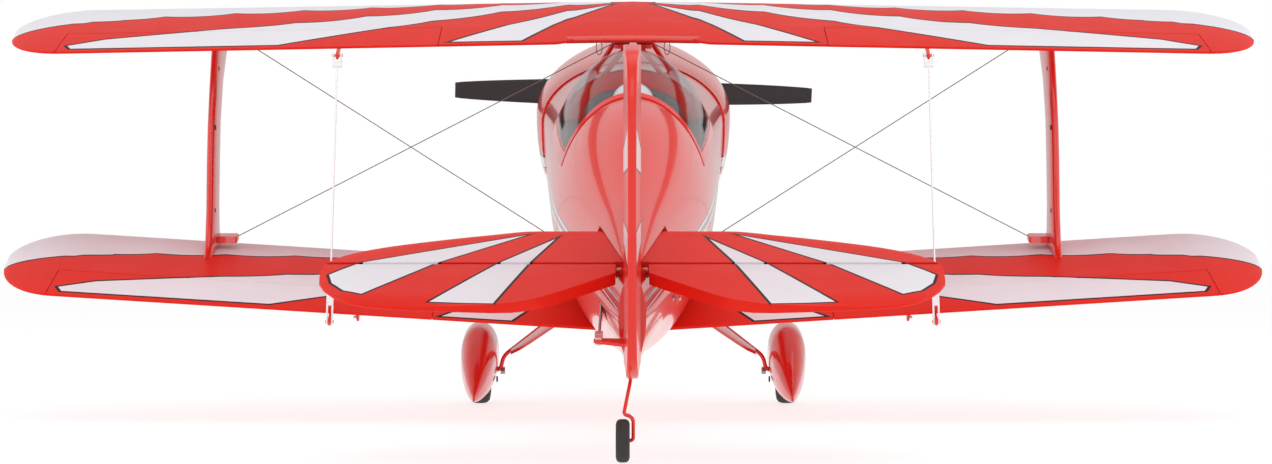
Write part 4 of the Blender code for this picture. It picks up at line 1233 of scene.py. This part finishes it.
def make_tail_wheel():
    tyre = turned(evened(TAIL_TYRE_HALF, [(11.5, 0)]), TAIL_WHEEL, 56)
    piece("tail_tyre", tyre, FOAM_TYRE, "tail_wheel", "tyre", ["tail_wheel"])
    line = TAIL_WHEEL[2]
    path = [
        (-0.5, 557, -25), (-1, 559, -29.5), (-4.5, 572, line + 13.6), (-1.2, 574, line + 13.4),
        (0.6, 575, line + 11.5), (0.6, 575, line), (-7.6, 575, line),
    ]
    wire = rod(rounded_path(path, 2.2), 1.0)
    piece("tail_wheel_wire", wire, GLOSS_RED, "rudder", "red_paint", ["tail_wheel_strut"])


# ---- studio


def soft_light(name, place, aim, size, power):
    data = bpy.data.lights.new(name, "AREA")
    data.shape = "RECTANGLE"
    data.size, data.size_y = size
    data.energy = power
    lamp = bpy.data.objects.new(name, data)
    lamp.location = place
    lamp.rotation_euler = (Vector(aim) - Vector(place)).to_track_quat("-Z", "Y").to_euler()
    bpy.context.scene.collection.objects.link(lamp)


def make_studio():
    """A pale floor, and a world that is brighter to the camera than as a light."""
    low, high = (Vector(corner) for corner in CAD_BOX)
    bpy.ops.mesh.primitive_plane_add(size=40, location=(0, 0, low.z))
    floor = bpy.context.object
    floor.name = "studio_floor"
    made, _, shader = new_material("studio_floor")
    put(shader, Emission_Color=(1, 1, 1, 1), Emission_Strength=0.78, Specular_IOR_Level=0.1,
        Base_Color=(0.3, 0.3, 0.3, 1), Roughness=0.7)
    floor.data.materials.append(made)
    world = bpy.data.worlds.new("studio")
    bpy.context.scene.world = world
    world.use_nodes = True
    tree = world.node_tree
    lit = tree.nodes["Background"]
    kinds = ("Background", "LightPath", "MixShader")
    seen, path, mix = (tree.nodes.new("ShaderNode" + kind) for kind in kinds)
    put(lit, Color=(1, 1, 1, 1), Strength=0.5)
    put(seen, Color=(1, 1, 1, 1))
    sums = Sums(tree)
    in_gloss = sums.do("MULTIPLY", path.outputs["Is Glossy Ray"], 0.45)
    link(sums.do("MAXIMUM", path.outputs["Is Camera Ray"], in_gloss), mix.inputs[0])
    link(lit.outputs[0], mix.inputs[1])
    link(seen.outputs[0], mix.inputs[2])
    link(mix.outputs[0], tree.nodes["World Output"].inputs["Surface"])
    bpy.context.scene.view_settings.view_transform = "Standard"
    for name, place, size, power in (
        ("key_above", (0.2, -0.5, 1.9), (2.2, 1.6), 13), ("side_left", (-1.5, -0.5, 0.55), (1.5, 1.3), 7),
        ("side_right", (1.5, -0.5, 0.55), (1.5, 1.3), 7), ("behind_camera", (0, -2.6, 1.0), (1.6, 0.9), 8),
    ):
        soft_light(name, place, (low + high) / 2, size, power)


# The camera stands level, behind the aircraft, a little above the lower wing
CAMERA_DISTANCE = 1.965
CAMERA_HEIGHT = 0.113
CAMERA_OFFSET = 0.002
LENS = 76.0
HORIZON_SHIFT = 0.0131


def make_camera():
    data = bpy.data.cameras.new("camera")
    data.lens = LENS
    data.sensor_width = 36.0
    data.shift_y = HORIZON_SHIFT
    data.clip_end = 60
    camera = bpy.data.objects.new("camera", data)
    camera.location = (CAMERA_OFFSET, FIREWALL.y - CAMERA_DISTANCE, CAMERA_HEIGHT)
    camera.rotation_euler = (radians(90), 0, 0)
    bpy.context.scene.collection.objects.link(camera)
    bpy.context.scene.camera = camera


for make in (
    make_wings, make_ailerons, make_links, make_struts, make_cabane, make_rigging, make_fuselage, make_nose,
    make_propeller, make_canopy, make_pilot, make_tailplane, make_elevator, make_fin_and_rudder,
    make_control_runs, make_gear, make_pants, make_main_wheels, make_tail_wheel, make_studio, make_camera,
):
    make()
